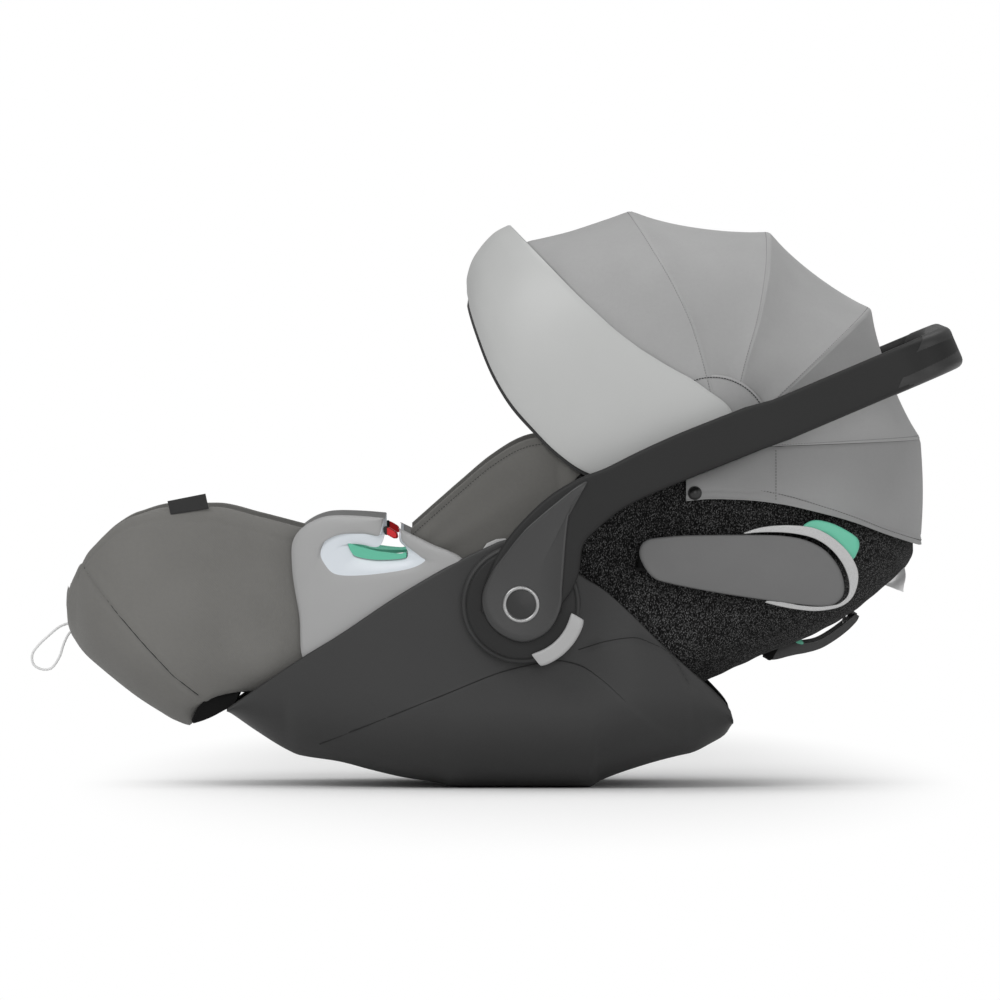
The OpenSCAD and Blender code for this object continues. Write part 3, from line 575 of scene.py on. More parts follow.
def knitted(name, colour, crest_highlight):
    """A knit of loops about 1 mm apart, most of them dark, and a few whose crests catch the light, as
    painted highlights.
    """
    paint, tree, shader = blank(name, Roughness=0.95, Specular_IOR_Level=0.2)
    body = place(tree, False)
    turned = {"Rotation": (0.0, 0.7, 0.0), "Scale": (1.0, 1.0, 0.55)}
    at = add(tree, "ShaderNodeMapping", Vector=body, **turned).outputs[0]
    loops = add(tree, "ShaderNodeTexVoronoi", {"feature": "F1"}, Vector=at, Scale=1050.0, Randomness=1.0)
    pick = add(tree, "ShaderNodeSeparateColor", Color=loops.outputs["Color"])
    # A loop's painted highlight: by its own random share, at its crest, and more in some patches than others
    chosen = spread(tree, pick.outputs[0], 0.0, 0.9, 0.0, 1.0)
    crest = spread(tree, loops.outputs["Distance"], 0.1, 0.6, 1.0, 0.0)
    patch = spread(tree, clouds(tree, at, 210.0, 3.0, Roughness=0.7), 0.35, 0.65, 0.65, 1.0)
    light = sum_of(tree, "MULTIPLY", sum_of(tree, "MULTIPLY", chosen, crest), patch)
    tint = add(tree, "ShaderNodeMix", {"data_type": "RGBA"}, _0=light, _6=linear(colour), _7=linear(crest_highlight))
    dress(tree, shader, tint.outputs[2], crest, 0.6, 0.5)
    return paint


# Polypropylene with a fine grain: a dark shell, almost without shine
BASE_PLASTIC = moulded("grained_polypropylene", "#2b2b2b", 0.55)
# The underside: duller than the shell, and darker as painted shade under the base, so that it recedes
SOLE_PLASTIC_PAINTED_SHADE = moulded("ribbed_polypropylene_sole_painted_shade", "#191919", 0.7, grain=1.2, Specular_IOR_Level=0.3)
# The parting line: near black, painted shade, so that it reads as a narrow gap
SEAM_SHADOW = moulded("painted_shade_in_parting_line", "#161616", 0.8)
# Glass-filled nylon: finer and darker than the base, so that the handle stands apart from it
HANDLE_PLASTIC = moulded(
    "glass_filled_nylon", "#1e1e1e", 0.55, grain=0.7, depth=0.03, Specular_IOR_Level=0.3
)
# The same nylon with a satin face: a lighter drop shape round the pivot
FACE_PLASTIC = moulded("satin_glass_filled_nylon", "#2c2c2c", 0.36, grain=0.7, depth=0.02)
# Soft-touch rubber: a smoother gleam along the grip
GRIP_RUBBER = moulded("soft_touch_rubber", "#2c2c2c", 0.45, grain=0.8, depth=0.05, Specular_IOR_Level=0.4)
# Satin acetal and ABS: light grey, with an even gloss and next to no grain
TAB_PLASTIC = moulded("satin_acetal_grey", "#a4a4a4", 0.4, depth=0.01, mottle=0.02)
GUIDE_PLASTIC = moulded("satin_abs_grey", "#9e9e9e", 0.48, depth=0.01, mottle=0.02)
# Pale, cool ABS: the dish that makes the belt's slot stand out
DISH_PLASTIC = moulded("satin_abs_pale", "#d2d8de", 0.35, depth=0.01, mottle=0.02)
# Coloured acetal: green marks the belt's path and the releases, red the gate and the buckle
TEAL_PLASTIC = moulded("acetal_teal", "#5fb89b", 0.4, depth=0.01, mottle=0.03)
RED_PLASTIC = moulded("acetal_red", "#c4161c", 0.35, depth=0.01, mottle=0.03)
# Matt rubber: swallows the light at the hinges; under the toe the same black paints the shade in the arch
MATT_BLACK = moulded("matt_black_rubber", "#0d0d0d", 0.9, Specular_IOR_Level=0.2)
# Gloss nylon: small black parts with a sharp highlight
BLACK_PLASTIC = moulded("gloss_black_nylon", "#141414", 0.32, depth=0.02)
# Polyethylene: the plain dark tub under the seat
TUB_PLASTIC = moulded("blow_moulded_polyethylene", "#2e2e2e", 0.55)
# Silver paint: a soft metallic sheen round the side guards
SILVER_PAINT = moulded(
    "silver_painted_abs", "#a8a8a8", 0.3, grain=0.5, depth=0.02, mottle=0.03, Metallic=0.35
)
# Zinc-plated steel: bright bars and rods
STEEL = moulded("zinc_plated_steel", "#b4b8bc", 0.3, grain=0.5, depth=0.01, Metallic=1.0)
# Satin chrome and black enamel: the bright ring at each pivot and its plain centre
CHROME = moulded("satin_chrome_plating", "#a2a2a2", 0.34, grain=0.5, depth=0.004, mottle=0.02, Metallic=1.0)
MEDAL_BLACK = moulded("black_enamel", "#181818", 0.42, depth=0.004)
# Threads are about 0.4 mm on the real cloths, and drawn coarser here so that the weave shows
# Polyester: the pale hood, and its skirt the same cloth made darker, as painted shade under the hood
HOOD_CLOTH = woven("polyester_hood_cloth", "#9c9c9c", 1.3, 0.06, 0.8, Sheen_Weight=0.1)
SKIRT_CLOTH_PAINTED_SHADE = woven("polyester_skirt_cloth_painted_shade", "#8f8f8f", 1.3, 0.05, 0.8, Sheen_Weight=0.1)
# Coated cloth: the visor is the palest and smoothest of them, with a broad highlight
VISOR_CLOTH = woven("coated_visor_cloth", "#b4b5b4", 1.0, 0.012, 0.42, 0.02, mottle=0.02)
# Dark lining: a black edge under the visor
LINING_CLOTH = woven("dark_lining_cloth", "#303030", 1.3, 0.08)
# Melange twill: the warm grey of the leg rest, and the wings the same cloth made darker, as painted shade
# between the seat and the hood
COVER_CLOTH = woven("melange_cover_cloth", "#6e6d6a", 1.4, 0.09, 0.85, slant=0.5, Sheen_Weight=0.1)
WING_CLOTH_PAINTED_SHADE = woven("melange_wing_cloth_painted_shade", "#62615e", 1.4, 0.1, 0.85, slant=0.5, Sheen_Weight=0.1)
# Jersey: the soft, dull liner of the seat
SEAT_CLOTH = woven(
    "jersey_seat_cloth", "#66655f", 1.6, 0.08, 0.9, 0.15, slant=1.0, flat=False, Sheen_Weight=0.15
)
# Cloth bonded to foam: smooth and even over the side guards
GUARD_CLOTH = woven("bonded_guard_cloth", "#656565", 1.1, 0.04, 0.6, 0.04)
# Webbing and tapes: ribbed straps, a black label, a white cord and a white care label
WEBBING = woven("polyester_webbing", "#3c3c3c", 2.2, 0.16, 0.65, 0.25, slant=1.0)
TAPE = woven("black_label_tape", "#1c1c1c", 0.9, 0.15, 0.7)
CORD = woven("braided_cord", "#e2e2e2", 0.8, 0.04, 0.75, 0.08, slant=1.0)
CARE_TAPE = woven("white_care_tape", "#eeeeee", 0.9, 0.04, 0.6)
# Thread: dark and grey stitches
THREAD_DARK = moulded("dark_sewing_thread", "#262626", 0.8)
THREAD_GREY = moulded("grey_sewing_thread", "#4c4c4c", 0.8)
# The knit over the backrest: black, with pale flecks that are painted highlights on the loops' crests
KNIT = knitted("boucle_knit", "#040404", "#828282")


def coat(nodes, paint):
    """Gives CAD nodes that stay in view their material."""
    for node in nodes:
        slots = frame["nodes"][node].data.materials
        slots.clear()
        slots.append(paint)


# ---- Base ----
BASE_TOP = [(BASE_FRONT, 76), (-218, 128), (-184, 149), (-123, 190), (-59, 227), (-38, 237),
            (-13, 246), (10, 246), (35, 232), (60, 211), (79, 200), (109, 174), (136, 147),
            (166, 119), (181, 105.5), (195, 92), (209, 75), (212, 66)]
BASE_BOTTOM = [(BASE_FRONT, 74), (-267, 55), (-232, 34), (-222, 30), (-182, 24), (-150, 16),
               (-119, 9), (-81, 3), (-71, 0), (70, 0), (78, 5), (126, 22), (157, 30), (171, 33),
               (191, 42.5), (205, 51), (212, 62)]
BASE_WIDTH = [(BASE_FRONT, FRONT_HALF_W), (TAPER_X, BASE_HALF_W), (100, BASE_HALF_W),
              (160, BASE_HALF_W - 14), (212, BASE_HALF_W - 42)]
LOWER_PANEL = [(-201, 43), (-129, 73), (-77, 94), (-15, 118), (16, 125), (36, 128), (57, 124),
               (78, 111), (112, 80), (147, 51), (164, 37)]
# Radii of the corner between wall and floor, and the points down the wall, round it and across the floor
BASE_ROUND = (84, 78)
BASE_COUNTS = (60, 30, 14)
HULL_END = 212
# How far the wall swells at half its height, stands out below the lower panel's edge, and steps in above
# the rear panel's
WALL_SWELL = 2.2
LOWER_STEP = 1.1
REAR_STEP = 2.6
REAR_PANEL = [(57, 139), (88, 148), (112, 151), (133, 144), (147, 136), (170, 100)]


def u_section(width, low, top, turn_y, turn_z, wall, bend, floor):
    """U sections for every station at once: down a wall, round a corner, across the floor and up again.

    wall, bend and floor are the points on each part of one side.
    """
    width, low, top = (np.asarray(a, float)[:, None] for a in (width, low, top))
    ry = np.minimum(turn_y, width * 0.9)
    rz = np.minimum(turn_z, (top - low) * 0.97)
    down = np.linspace(0, 1, wall, endpoint=False)[None]
    angle = np.linspace(0, np.pi / 2, bend, endpoint=False)[None]
    flat = np.linspace(0, 1, floor)[None]
    y = np.concatenate(
        [width + 0 * down, width - ry * (1 - np.cos(angle)), (width - ry) * (1 - flat)], axis=1
    )
    z = np.concatenate(
        [top + (low + rz - top) * down, low + rz * (1 - np.sin(angle)), low + 0 * flat], axis=1
    )
    y = np.concatenate([-y, y[:, -2::-1]], axis=1)
    z = np.concatenate([z, z[:, -2::-1]], axis=1)
    return y, z


def steepness(x, table):
    """The slope of a table's curve at each x, over a small step to both sides."""
    step = 0.5
    return (smooth(x + step, table) - smooth(x - step, table)) / (2 * step)


def u_surface(x, width, low, top, turn, inset, counts, arch=None):
    """A U-shaped surface through stations x, drawn in from its outlines by inset, cut off below an arch.

    An inset is taken square to the outline, so it grows by sqrt(1 + slope^2) where the outline leans.
    """
    lean = np.sqrt(1 + steepness(x, width) ** 2)
    rise = np.sqrt(1 + np.minimum(steepness(x, low) ** 2, 9))
    half = np.maximum(smooth(x, width) - inset * lean, 3)
    floor = np.minimum(smooth(x, low) + inset * rise, smooth(x, top) - 0.6)
    y, z = u_section(half, floor, smooth(x, top), turn[0] - inset, turn[1] - inset, *counts)
    if arch is not None:
        z = np.maximum(z, smooth(x, arch)[:, None] + inset)
    return stacked(x[:, None], y, z)


def base_hull():
    """The shell: a U section whose walls swell a little, stepped along the edge of its lower panel."""
    x = BASE_FRONT + (HULL_END - BASE_FRONT) * np.linspace(0, 1, 190)
    at = x[:, None]
    outer = u_surface(x, BASE_WIDTH, BASE_BOTTOM, BASE_TOP, BASE_ROUND, 0.4, BASE_COUNTS)
    inner = u_surface(x, BASE_WIDTH, BASE_BOTTOM, BASE_TOP, BASE_ROUND, BASE_WALL, BASE_COUNTS)
    z = outer[..., 2]
    # Each share is 0 or 1 with a soft step between: inside the lower panel's ends, below its edge, and
    # above the rear panel's edge
    crease = smooth(x, LOWER_PANEL)[:, None]
    inside = ease((at + 215) / 30) * ease((172 - at) / 12)
    lower = ease((crease - z) / 5 + 0.5) * inside
    ridge = smooth(x, REAR_PANEL)[:, None]
    rear = ease((z - ridge) / 16 + 0.5) * ease((at - 50) / 25) * ease((190 - at) / 30)
    low, top = smooth(x, BASE_BOTTOM), smooth(x, BASE_TOP)
    height = (z - low[:, None]) / (top - low)[:, None]
    swell = WALL_SWELL * np.sin(np.pi * np.clip(height, 0, 1)) * ease((at - BASE_FRONT) / 90)
    push = swell + LOWER_STEP * lower - REAR_STEP * rear - 1.0
    outer[..., 1] += np.sign(outer[..., 1]) * push * ease(np.abs(outer[..., 1]) / 60)
    inner[..., 1] -= np.sign(inner[..., 1]) * 3.2 * ease(np.abs(inner[..., 1]) / 60)
    made = solid("base_hull", walls(outer, inner, 4), BASE_PLASTIC, crease=50)
    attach(made, "base")
    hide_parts("base_shell")
    side = outer[:, : outer.shape[1] // 2]
    return x, side


def on_side(x, z, side, proud):
    """Points on the left wall of the base hull at the given places, pushed out by proud."""
    stations_x, rows = side
    y = np.empty(len(x))
    for k, (at, up) in enumerate(zip(x, z)):
        row = rows[np.argmin(np.abs(stations_x - at))]
        order = np.argsort(row[:, 2])
        y[k] = np.interp(up, row[order, 2], row[order, 1])
    return np.stack([x, y - proud, z], -1)


def base_seams(side):
    """Painted shade as near-black lines: the parting line between the hull and its lower panel, and the edge
    of the rear panel.
    """
    for name, curve, start, end, widest in (
        ("lower_panel_seam", LOWER_PANEL, -201, 112, 0.55),
        ("rear_panel_seam", REAR_PANEL, 57, 168, 0.4),
    ):
        x = np.linspace(start, end, 110)
        line = on_side(x, smooth(x, curve), side, -0.05)
        width = 0.1 + widest * ease((end - x) / 60)
        seam = solid(name, tube(line, width), SEAM_SHADOW, ends="cap", both=True)
        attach(seam, "base")


base_side = base_hull()
base_seams(base_side)
coat(("base_sole",), SOLE_PLASTIC_PAINTED_SHADE)
coat(("seat_tub",), TUB_PLASTIC)
coat(("lock_bars", "recline_pins", "leg_rest_rod"), STEEL)


# Radius of the stub that carries an arm
STUB_R = 12


def hub_boss():
    """The round boss that carries a handle arm: a rounded rim, a face, and a stub into the arm."""
    stub = 13.5
    face = BOSS_HIGH[1] - stub - 0.5
    profile = [(0.01, BASE_HALF_W - 4), (BOSS_R + 0.6, BASE_HALF_W - 4), (BOSS_R + 0.6, face - 6)]
    profile += arc(BOSS_R - 3, face - 3.6, 3.6, 3.6, 0, np.pi / 2, 6)
    profile += [(54, face - 0.4), (53, face - 2.2), (50, face - 2.4), (STUB_R, face - 2.4)]
    profile += [(STUB_R, BOSS_HIGH[1] - 0.3), (0.01, BOSS_HIGH[1] - 0.3)]
    made = solid("hub_bosses", revolve(profile, PIVOT), BASE_PLASTIC, joined=True, both=True)
    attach(made, "base")
    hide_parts("pivot_bosses")


hub_boss()


# ---- Belt guides, in the plane of the tapered side wall ----
GUIDE_HOLE = [(-138, 268), (-138.6, 252), (-145, 241), (-161, 243), (-175, 245), (-171, 235),
              (-166, 230), (-145, 227), (-119, 229), (-115, 235), (-117.5, 241), (-123, 247),
              (-123.4, 258)]
GUIDE_DISH = [(-138, 269), (-141.5, 255), (-145, 252), (-160, 254), (-190, 252), (-201, 236),
              (-196, 222), (-184, 213), (-154, 213), (-114, 219), (-97, 227), (-102, 232),
              (-119, 246), (-120.6, 258)]
GUIDE_EDGE = [(-138.4, 269.8), (-160, 271.6), (-184, 272.4), (-199, 270.6), (-213, 264.6),
              (-224, 255.5), (-229.6, 245), (-230.6, 232), (-229, 209), (-223, 172), (-217, 126),
              (-180, 130), (-120, 160), (-62, 200), (-59, 228), (-93, 245), (-123.2, 259.6)]


def on_wall(flat, depth):
    """Points in X and Z on the tapered side wall, at a depth below its outer face, as points in space."""
    along = (flat[..., 0] - TAPER_X) / math.cos(TAPER)
    x = TAPER_X + along * math.cos(TAPER) + depth * math.sin(TAPER)
    y = -BASE_HALF_W - along * math.sin(TAPER) + depth * math.cos(TAPER)
    return np.stack([x, y, flat[..., 1]], -1)


def between(inner, outer, share):
    """Points part of the way from one outline to another."""
    return inner + (outer - inner) * share


def wall_rings(rows, depth, axis=1):
    """Outlines in X and Z laid on the tapered side wall, each at its own depth."""
    return np.stack([on_wall(row, np.full(len(row), d)) for row, d in zip(rows, depth)], axis)


def belt_guide():
    """The guide: a moulded wing with a dished slot, open at its top, where the belt drops past the gate."""
    count = 150
    hole, dish, edge = (spline(points, count) for points in (GUIDE_HOLE, GUIDE_DISH, GUIDE_EDGE))
    face = 3.2
    back = 8.6
    swell = 2.4
    # The face runs from the dish to the outer edge, where it rolls back, and the rear face returns
    rows, depth = [], []
    for share in np.linspace(0, 1, 16):
        rows.append(between(dish, edge, share))
        rolled = face + 2.6 * (1 - math.sqrt(max(1 - max((share - 0.86) / 0.14, 0) ** 2, 0)))
        depth.append(rolled - swell * math.sin(math.pi * min(share, 1)) + 0.9 * bell(share / 0.05))
    for share in np.linspace(1, 0, 8):
        rows.append(between(dish, edge, share))
        depth.append(back)
    rings = wall_rings(rows, depth)
    made = solid("belt_guides", rings, GUIDE_PLASTIC, ends="cap", both=True)
    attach(made, "base")
    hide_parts("guide_panels")
    # The dish curves outwards from the slot to the face
    rows, depth = [], []
    for share in np.linspace(0, 1, 9):
        rows.append(between(hole, dish, share))
        depth.append(face + 0.9 + 4.2 * (1 - share) ** 1.6)
    for share in np.linspace(1, 0, 5):
        rows.append(between(hole, dish, share))
        depth.append(back + 0.6)
    rings = wall_rings(rows, depth)
    inset = solid("guide_dishes", rings, DISH_PLASTIC, ends="cap", both=True)
    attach(inset, "base")
    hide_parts("guide_bezels")


def guide_liner():
    """The green strip that marks the bottom of the slot."""
    path = spline([(-175, 245), (-171, 236), (-165, 231), (-145, 228), (-119, 229.6), (-116, 234)], 60)
    drop = spline([(-174.5, 246), (-168, 243), (-158, 240), (-145, 237), (-124, 234.6), (-117, 236)], 60)
    rows = [path, between(path, drop, 0.9), drop, between(path, drop, 0.5), path]
    depth = [6.4, 6.6, 7.6, 12.0, 12.0]
    rings = wall_rings(rows, depth)
    made = solid("guide_liners", rings, TEAL_PLASTIC, ends="cap", both=True)
    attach(made, "base")
    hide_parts("guide_liners")


def belt_gates():
    """A red flap with a black tip across each slot's mouth."""
    outline = spline([(-137.4, 259), (-136.4, 254.6), (-132, 251.6), (-127.4, 249.4), (-124.6, 250.8),
                      (-125.8, 255.6), (-130, 258.6), (-134.6, 260.8)], 40, closed=True)
    edge = [(-138.3, 259.6), (-137.4, 254.4), (-135.2, 253.2), (-135, 260.9), (-136.8, 261.6)]
    tip = spline(edge, 24, closed=True)
    for side, sign in SIDES:
        node = "belt_gate_" + side
        rings = wall_rings((outline, outline), (4.6, 8.4), 0)
        middle = rings.mean(axis=1, keepdims=True)
        front = middle + (rings[:1] - middle[:1]) * 0.86
        back = middle[1:] + (rings[1:] - middle[1:]) * 0.86
        rings = np.concatenate([front, rings, back])
        rings[0] += (rings[0].mean(0) - rings[2].mean(0)) * 0.1
        rings *= (1, sign, 1)
        made = solid(node + "_flap", rings, RED_PLASTIC, ends="cap", crease=60)
        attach(made, node)
        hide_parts(node)
        cap = wall_rings((tip, tip), (4.3, 8.7), 0) * (1, sign, 1)
        end = solid(node + "_tip", cap, BLACK_PLASTIC, ends="cap")
        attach(end, node)


belt_guide()
guide_liner()
belt_gates()


# ---- Shapes that several soft and moulded pieces share ----
def outward(grid):
    """The unit normals of a surface given as a grid of points, away from its middle."""
    along = np.gradient(grid, axis=0)
    across = np.gradient(grid, axis=1)
    normal = unit(np.cross(along, across))
    away = grid - grid.reshape(-1, 3).mean(axis=0)
    return normal if np.sum(normal * away) > 0 else -normal


def shell(name, outer, thick, paint, lip=3):
    """A sheet of the given thickness under a grid of points, with rounded edges along its rows."""
    inner = outer - outward(outer) * thick
    return solid(name, walls(outer, inner, lip), paint, crease=60)


# Frames that a pad's cloth runs for, and the pressure of the air in it
CLOTH_FRAMES = 20
CLOTH_PRESSURE = 4.0


def soften(obj, name, voxel, most):
    """Fills a pad with air by Blender's cloth, moves no point further than most, and smooths the result."""
    scene = bpy.context.scene
    remesh = obj.modifiers.new("remesh", "REMESH")
    remesh.mode = "VOXEL"
    remesh.voxel_size = voxel * MM
    remesh.use_smooth_shade = True
    start = evaluated(obj)
    obj.modifiers.clear()
    obj.data = start
    before = spots(start)
    cloth = obj.modifiers.new("cloth", "CLOTH")
    cloth.settings.use_pressure = True
    cloth.settings.uniform_pressure_force = CLOTH_PRESSURE
    cloth.settings.effector_weights.gravity = 0
    cloth.point_cache.frame_end = CLOTH_FRAMES
    for step in range(1, CLOTH_FRAMES + 1):
        scene.frame_set(step)
    moved = spots(evaluated(obj)) - before
    obj.modifiers.clear()
    scene.frame_set(1)
    far = np.linalg.norm(moved, axis=1, keepdims=True)
    scale = np.minimum(1, most * MM / np.maximum(far, 1e-9))
    obj.data.vertices.foreach_set("co", (before + moved * scale).ravel())
    divide = obj.modifiers.new("divide", "SUBSURF")
    divide.levels = 1
    final = evaluated(obj)
    final.name = name
    obj.modifiers.clear()
    obj.data = final
    shade_smooth(final)
    return obj


def share_joint(obj, low, high, weights):
    """Fabric between two bodies, baked where it stands; the bodies and the weights are not used."""
    box = spots(obj.data)
    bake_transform(obj)


def share_along(obj, front, rear, start, end):
    """Cloth across a joint: each point's share from start to end is worked out and handed to share_joint."""
    x = spots(obj.data)[:, 0] / MM
    share_joint(obj, front, rear, ease((x - start) / (end - start)))


# ---- Handle ----
SLOPE_WAY = np.array([math.cos(ARM_SLOPE), 0, math.sin(ARM_SLOPE)])
SLOPE_UP = np.array([-math.sin(ARM_SLOPE), 0, math.cos(ARM_SLOPE)])
REACH = 500
CORNER_R = 60
BEND_U = REACH - CORNER_R
BEND_R = CORNER_R - ARM_T / 2
# From the end of an arm round the bend to the middle of the bar
HALF_GRIP = BEND_R * np.pi / 2 + (ARM_OUT - CORNER_R)
# Radius of the edges along an arm
ARM_ROUND = 4.5
ARM_V = ARM_RISE + ARM_W / 2
# Upper and lower edge of an arm at each station, from the pivot
ARM_EDGES = [(-40, -8, 40, -8), (-40, 0, 41, 0), (-38, 16, 50, 13), (-24, 49, 58, 33),
             (-4, 77, 62, 59), (26, 106, 76, 75), (55, 124, 98, 93), (84, 135.5, 120, 105),
             (115, 151, 143, 115), (150, 167, 175, 128), (187, 182, 205, 140), (223, 196, 240, 154)]


def rounded_section(half_w, half_t, radius, edge=2.5, steps=6):
    """Offsets across the width and the thickness round a section with rounded corners."""
    sizes = (np.atleast_1d(size).astype(float) for size in (half_w, half_t))
    half_w, half_t = np.broadcast_arrays(*sizes)
    wide, thick = [], []
    for k, (sw, st) in enumerate(((1, 1), (-1, 1), (-1, -1), (1, -1))):
        turn = np.linspace(0, np.pi / 2, steps) + k * np.pi / 2
        w = [sw * (half_w - radius) + radius * np.cos(a) for a in turn]
        t = [st * (half_t - radius) + radius * np.sin(a) for a in turn]
        before = (w[0], t[0] - edge * st) if k % 2 == 0 else (w[0] - edge * sw, t[0])
        after = (w[-1] - edge * sw, t[-1]) if k % 2 == 0 else (w[-1], t[-1] - edge * st)
        wide += [before[0], *w, after[0]]
        thick += [before[1], *t, after[1]]
    return np.stack(wide, -1), np.stack(thick, -1)


def grip_path(s):
    """Places s along an arm, a bend and half of the bar, and the outward direction at each."""
    a = np.clip(s / BEND_R, 0, np.pi / 2)
    over = np.maximum(s - BEND_R * np.pi / 2, 0)
    u = BEND_U + np.minimum(s, 0) + BEND_R * np.sin(a)
    y = -ARM_MIDDLE + BEND_R * (1 - np.cos(a)) + over
    spot = PIVOT + u[..., None] * SLOPE_WAY + ARM_V * SLOPE_UP + y[..., None] * np.array([0, 1, 0])
    out = np.sin(a)[..., None] * SLOPE_WAY - np.cos(a)[..., None] * np.array([0, 1, 0])
    return spot, out


def both_sides(left):
    """A sweep up to the middle of the carrier, and back down the other side."""
    return np.concatenate([left, mirrored(left[::-1])[1:]])


def handle():
    """The arms as one sweep through their stations, round both bends and across."""
    edges = spline(ARM_EDGES, 60)
    upper = PIVOT + np.stack([edges[:, 0], 0 * edges[:, 0], edges[:, 1]], -1)
    lower = PIVOT + np.stack([edges[:, 2], 0 * edges[:, 0], edges[:, 3]], -1)
    middle = (upper + lower) / 2 - (0, ARM_MIDDLE, 0)
    half = (upper - lower) / 2
    w, t = rounded_section(np.linalg.norm(half, axis=1), ARM_T / 2, ARM_ROUND)
    arm = middle[:, None] + unit(half)[:, None] * w[..., None] - np.array([0, 1, 0]) * t[..., None]
    s = np.concatenate([np.linspace(-130, 0, 16)[:-1], np.linspace(0, HALF_GRIP, 60)])
    spot, out = grip_path(s)
    corner = ARM_ROUND + 3.5 * ease((s + 40) / 80)
    rings = []
    for k in range(len(s)):
        w, t = rounded_section(ARM_W / 2, ARM_T / 2, corner[k])
        rings.append(spot[k] + w[0][:, None] * SLOPE_UP + t[0][:, None] * out[k])
    left = np.concatenate([arm, np.array(rings)])
    made = solid("handle_arms", both_sides(left), HANDLE_PLASTIC, ends="cap", crease=50)
    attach(made, "handle")
    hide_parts("handle_bow")


def grip_cover():
    """The rubber over the bends and the bar; on the arms it ends along a slant."""
    w, t = rounded_section(ARM_W / 2 + 0.5, ARM_T / 2 + 0.5, 8.2)
    w, t = w[0], t[0]
    start = -16 + 46 * (w + ARM_W / 2) / ARM_W
    share = np.linspace(0, 1, 70)[:, None] ** 1.2
    s = start + (HALF_GRIP - start) * share
    spot, out = grip_path(s)
    rings = spot + w[None, :, None] * SLOPE_UP + t[None, :, None] * out
    first = rings[0] - (w[:, None] * SLOPE_UP + t[:, None] * out[0]) * 0.06
    left = np.concatenate([first[None], rings])
    made = solid("grip_rubber", both_sides(left), GRIP_RUBBER, ends="cap", crease=50)
    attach(made, "handle")
    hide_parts("handle_grip")


def hub_discs():
    """The disc at the foot of each arm, and the raised face round the medallion."""
    r = BOSS_R - 4
    y_in = ARM_IN + 0.5
    y_out = ARM_OUT - 4
    bore = STUB_R + 0.4
    profile = [(bore, y_in), (r, y_in), (r, y_out - 2.5)]
    profile += arc(r - 2.5, y_out - 2.5, 2.5, 2.5, 0.2, np.pi / 2, 5)
    profile += [(r * 0.8, y_out - 0.2), (bore, y_out)]
    made = solid("hub_discs", revolve(profile, PIVOT), HANDLE_PLASTIC, joined=True, both=True)
    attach(made, "handle")
    # The drop-shaped face, as distances from the pivot
    edge = [(-39, 8), (-30.5, 30), (-18, 48), (2, 73), (20, 89.5), (35, 102), (54, 117), (66, 123),
            (61, 115), (53.7, 105), (49, 94), (46, 75), (43.7, 48), (41.4, 17.6), (39.9, -2),
            (32, -21), (18.5, -33), (0, -37.5), (-20, -30), (-34, -15)]
    outline = spline(edge, 150, closed=True) + PIVOT[[0, 2]]
    rings = dome(outline, PIVOT[[0, 2]] + (14, 26), -(ARM_OUT - 4), -(ARM_OUT + 1.6), 2.6, -1.4, 14)
    face = solid("hub_faces", rings, FACE_PLASTIC, ends="cap", crease=50, both=True)
    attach(face, "handle")


def medallions():
    """A satin metal ring and a plain black disc at each pivot."""
    top = ARM_OUT + 2.2
    r_out = 18.4
    r_in = 14.6
    bulge = [(r_in + (r_out - r_in) * (0.5 + 0.5 * math.cos(a)), top - 1.6 + 1.6 * math.sin(a))
             for a in np.linspace(0, np.pi, 9)]
    ring = [(r_out, ARM_OUT - 3), *bulge, (r_in, ARM_OUT - 3)]
    made = solid("medallion_rings", revolve(ring, PIVOT), CHROME, joined=True, both=True)
    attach(made, "handle")
    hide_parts("hub_medallions")
    disc = [(0.01, ARM_OUT - 2), (r_in + 0.4, ARM_OUT - 2), (r_in + 0.4, top - 1.5), (r_in - 2, top - 1.1),
            (0.01, top - 0.7)]
    core = solid("medallion_discs", revolve(disc, PIVOT), MEDAL_BLACK, joined=True, both=True)
    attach(core, "handle")


handle()
grip_cover()
hub_discs()
medallions()


def release_tabs():
    """The grey release on each hub: an arc that spans more degrees at its inner radius, rounded all over."""
    middle = 57.5
    w, t = rounded_section(7.6, 8.8, 3.0, 1.0)
    w, t = w[0], t[0]
    share = np.linspace(0, 1, 40)
    share = 0.5 - 0.5 * np.cos(share * np.pi)
    for side, sign in SIDES:
        rings = []
        for s in share:
            # The section draws in at both ends, and the ends lean, so that it spans fewer degrees outside
            shrink = 1 - 0.14 * (abs(2 * s - 1) ** 12)
            radius = middle + w * shrink
            start = -78.5 + (radius - 50) / 15 * 6.5
            end = -9.5 - (radius - 50) / 15 * 5.0
            turn = np.radians(start + (end - start) * s)
            rings.append(np.stack([PIVOT[0] + radius * np.cos(turn), sign * (-(ARM_OUT - 6.2) + t * shrink),
                                   PIVOT[2] + radius * np.sin(turn)], -1))
        made = solid("release_tab_" + side, np.array(rings), TAB_PLASTIC, ends="cap", crease=60)
        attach(made, "handle_button_" + side)
        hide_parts("handle_button_" + side)


release_tabs()
for side, _ in SIDES:
    lever = "stroller_lever_" + side
    rounded_copy(lever, "stroller_tab_" + side, TAB_PLASTIC, 1.2, lever, 3)


# ---- Hood ----
# Each bow and the visor's brim: degrees above level, reach from the pivots, and half width
REAR_BOW = (2, 194, HOOD_HALF_W)
UPPER_BOW = (42.8, 198, HOOD_HALF_W + 3.3)
TOP_BOW = (77.9, 215, HOOD_HALF_W + 6.6)
FRONT_BOW = (111.6, 249, HOOD_HALF_W + 9.9)
BRIM = (134, 280, HOOD_HALF_W + 9.9)
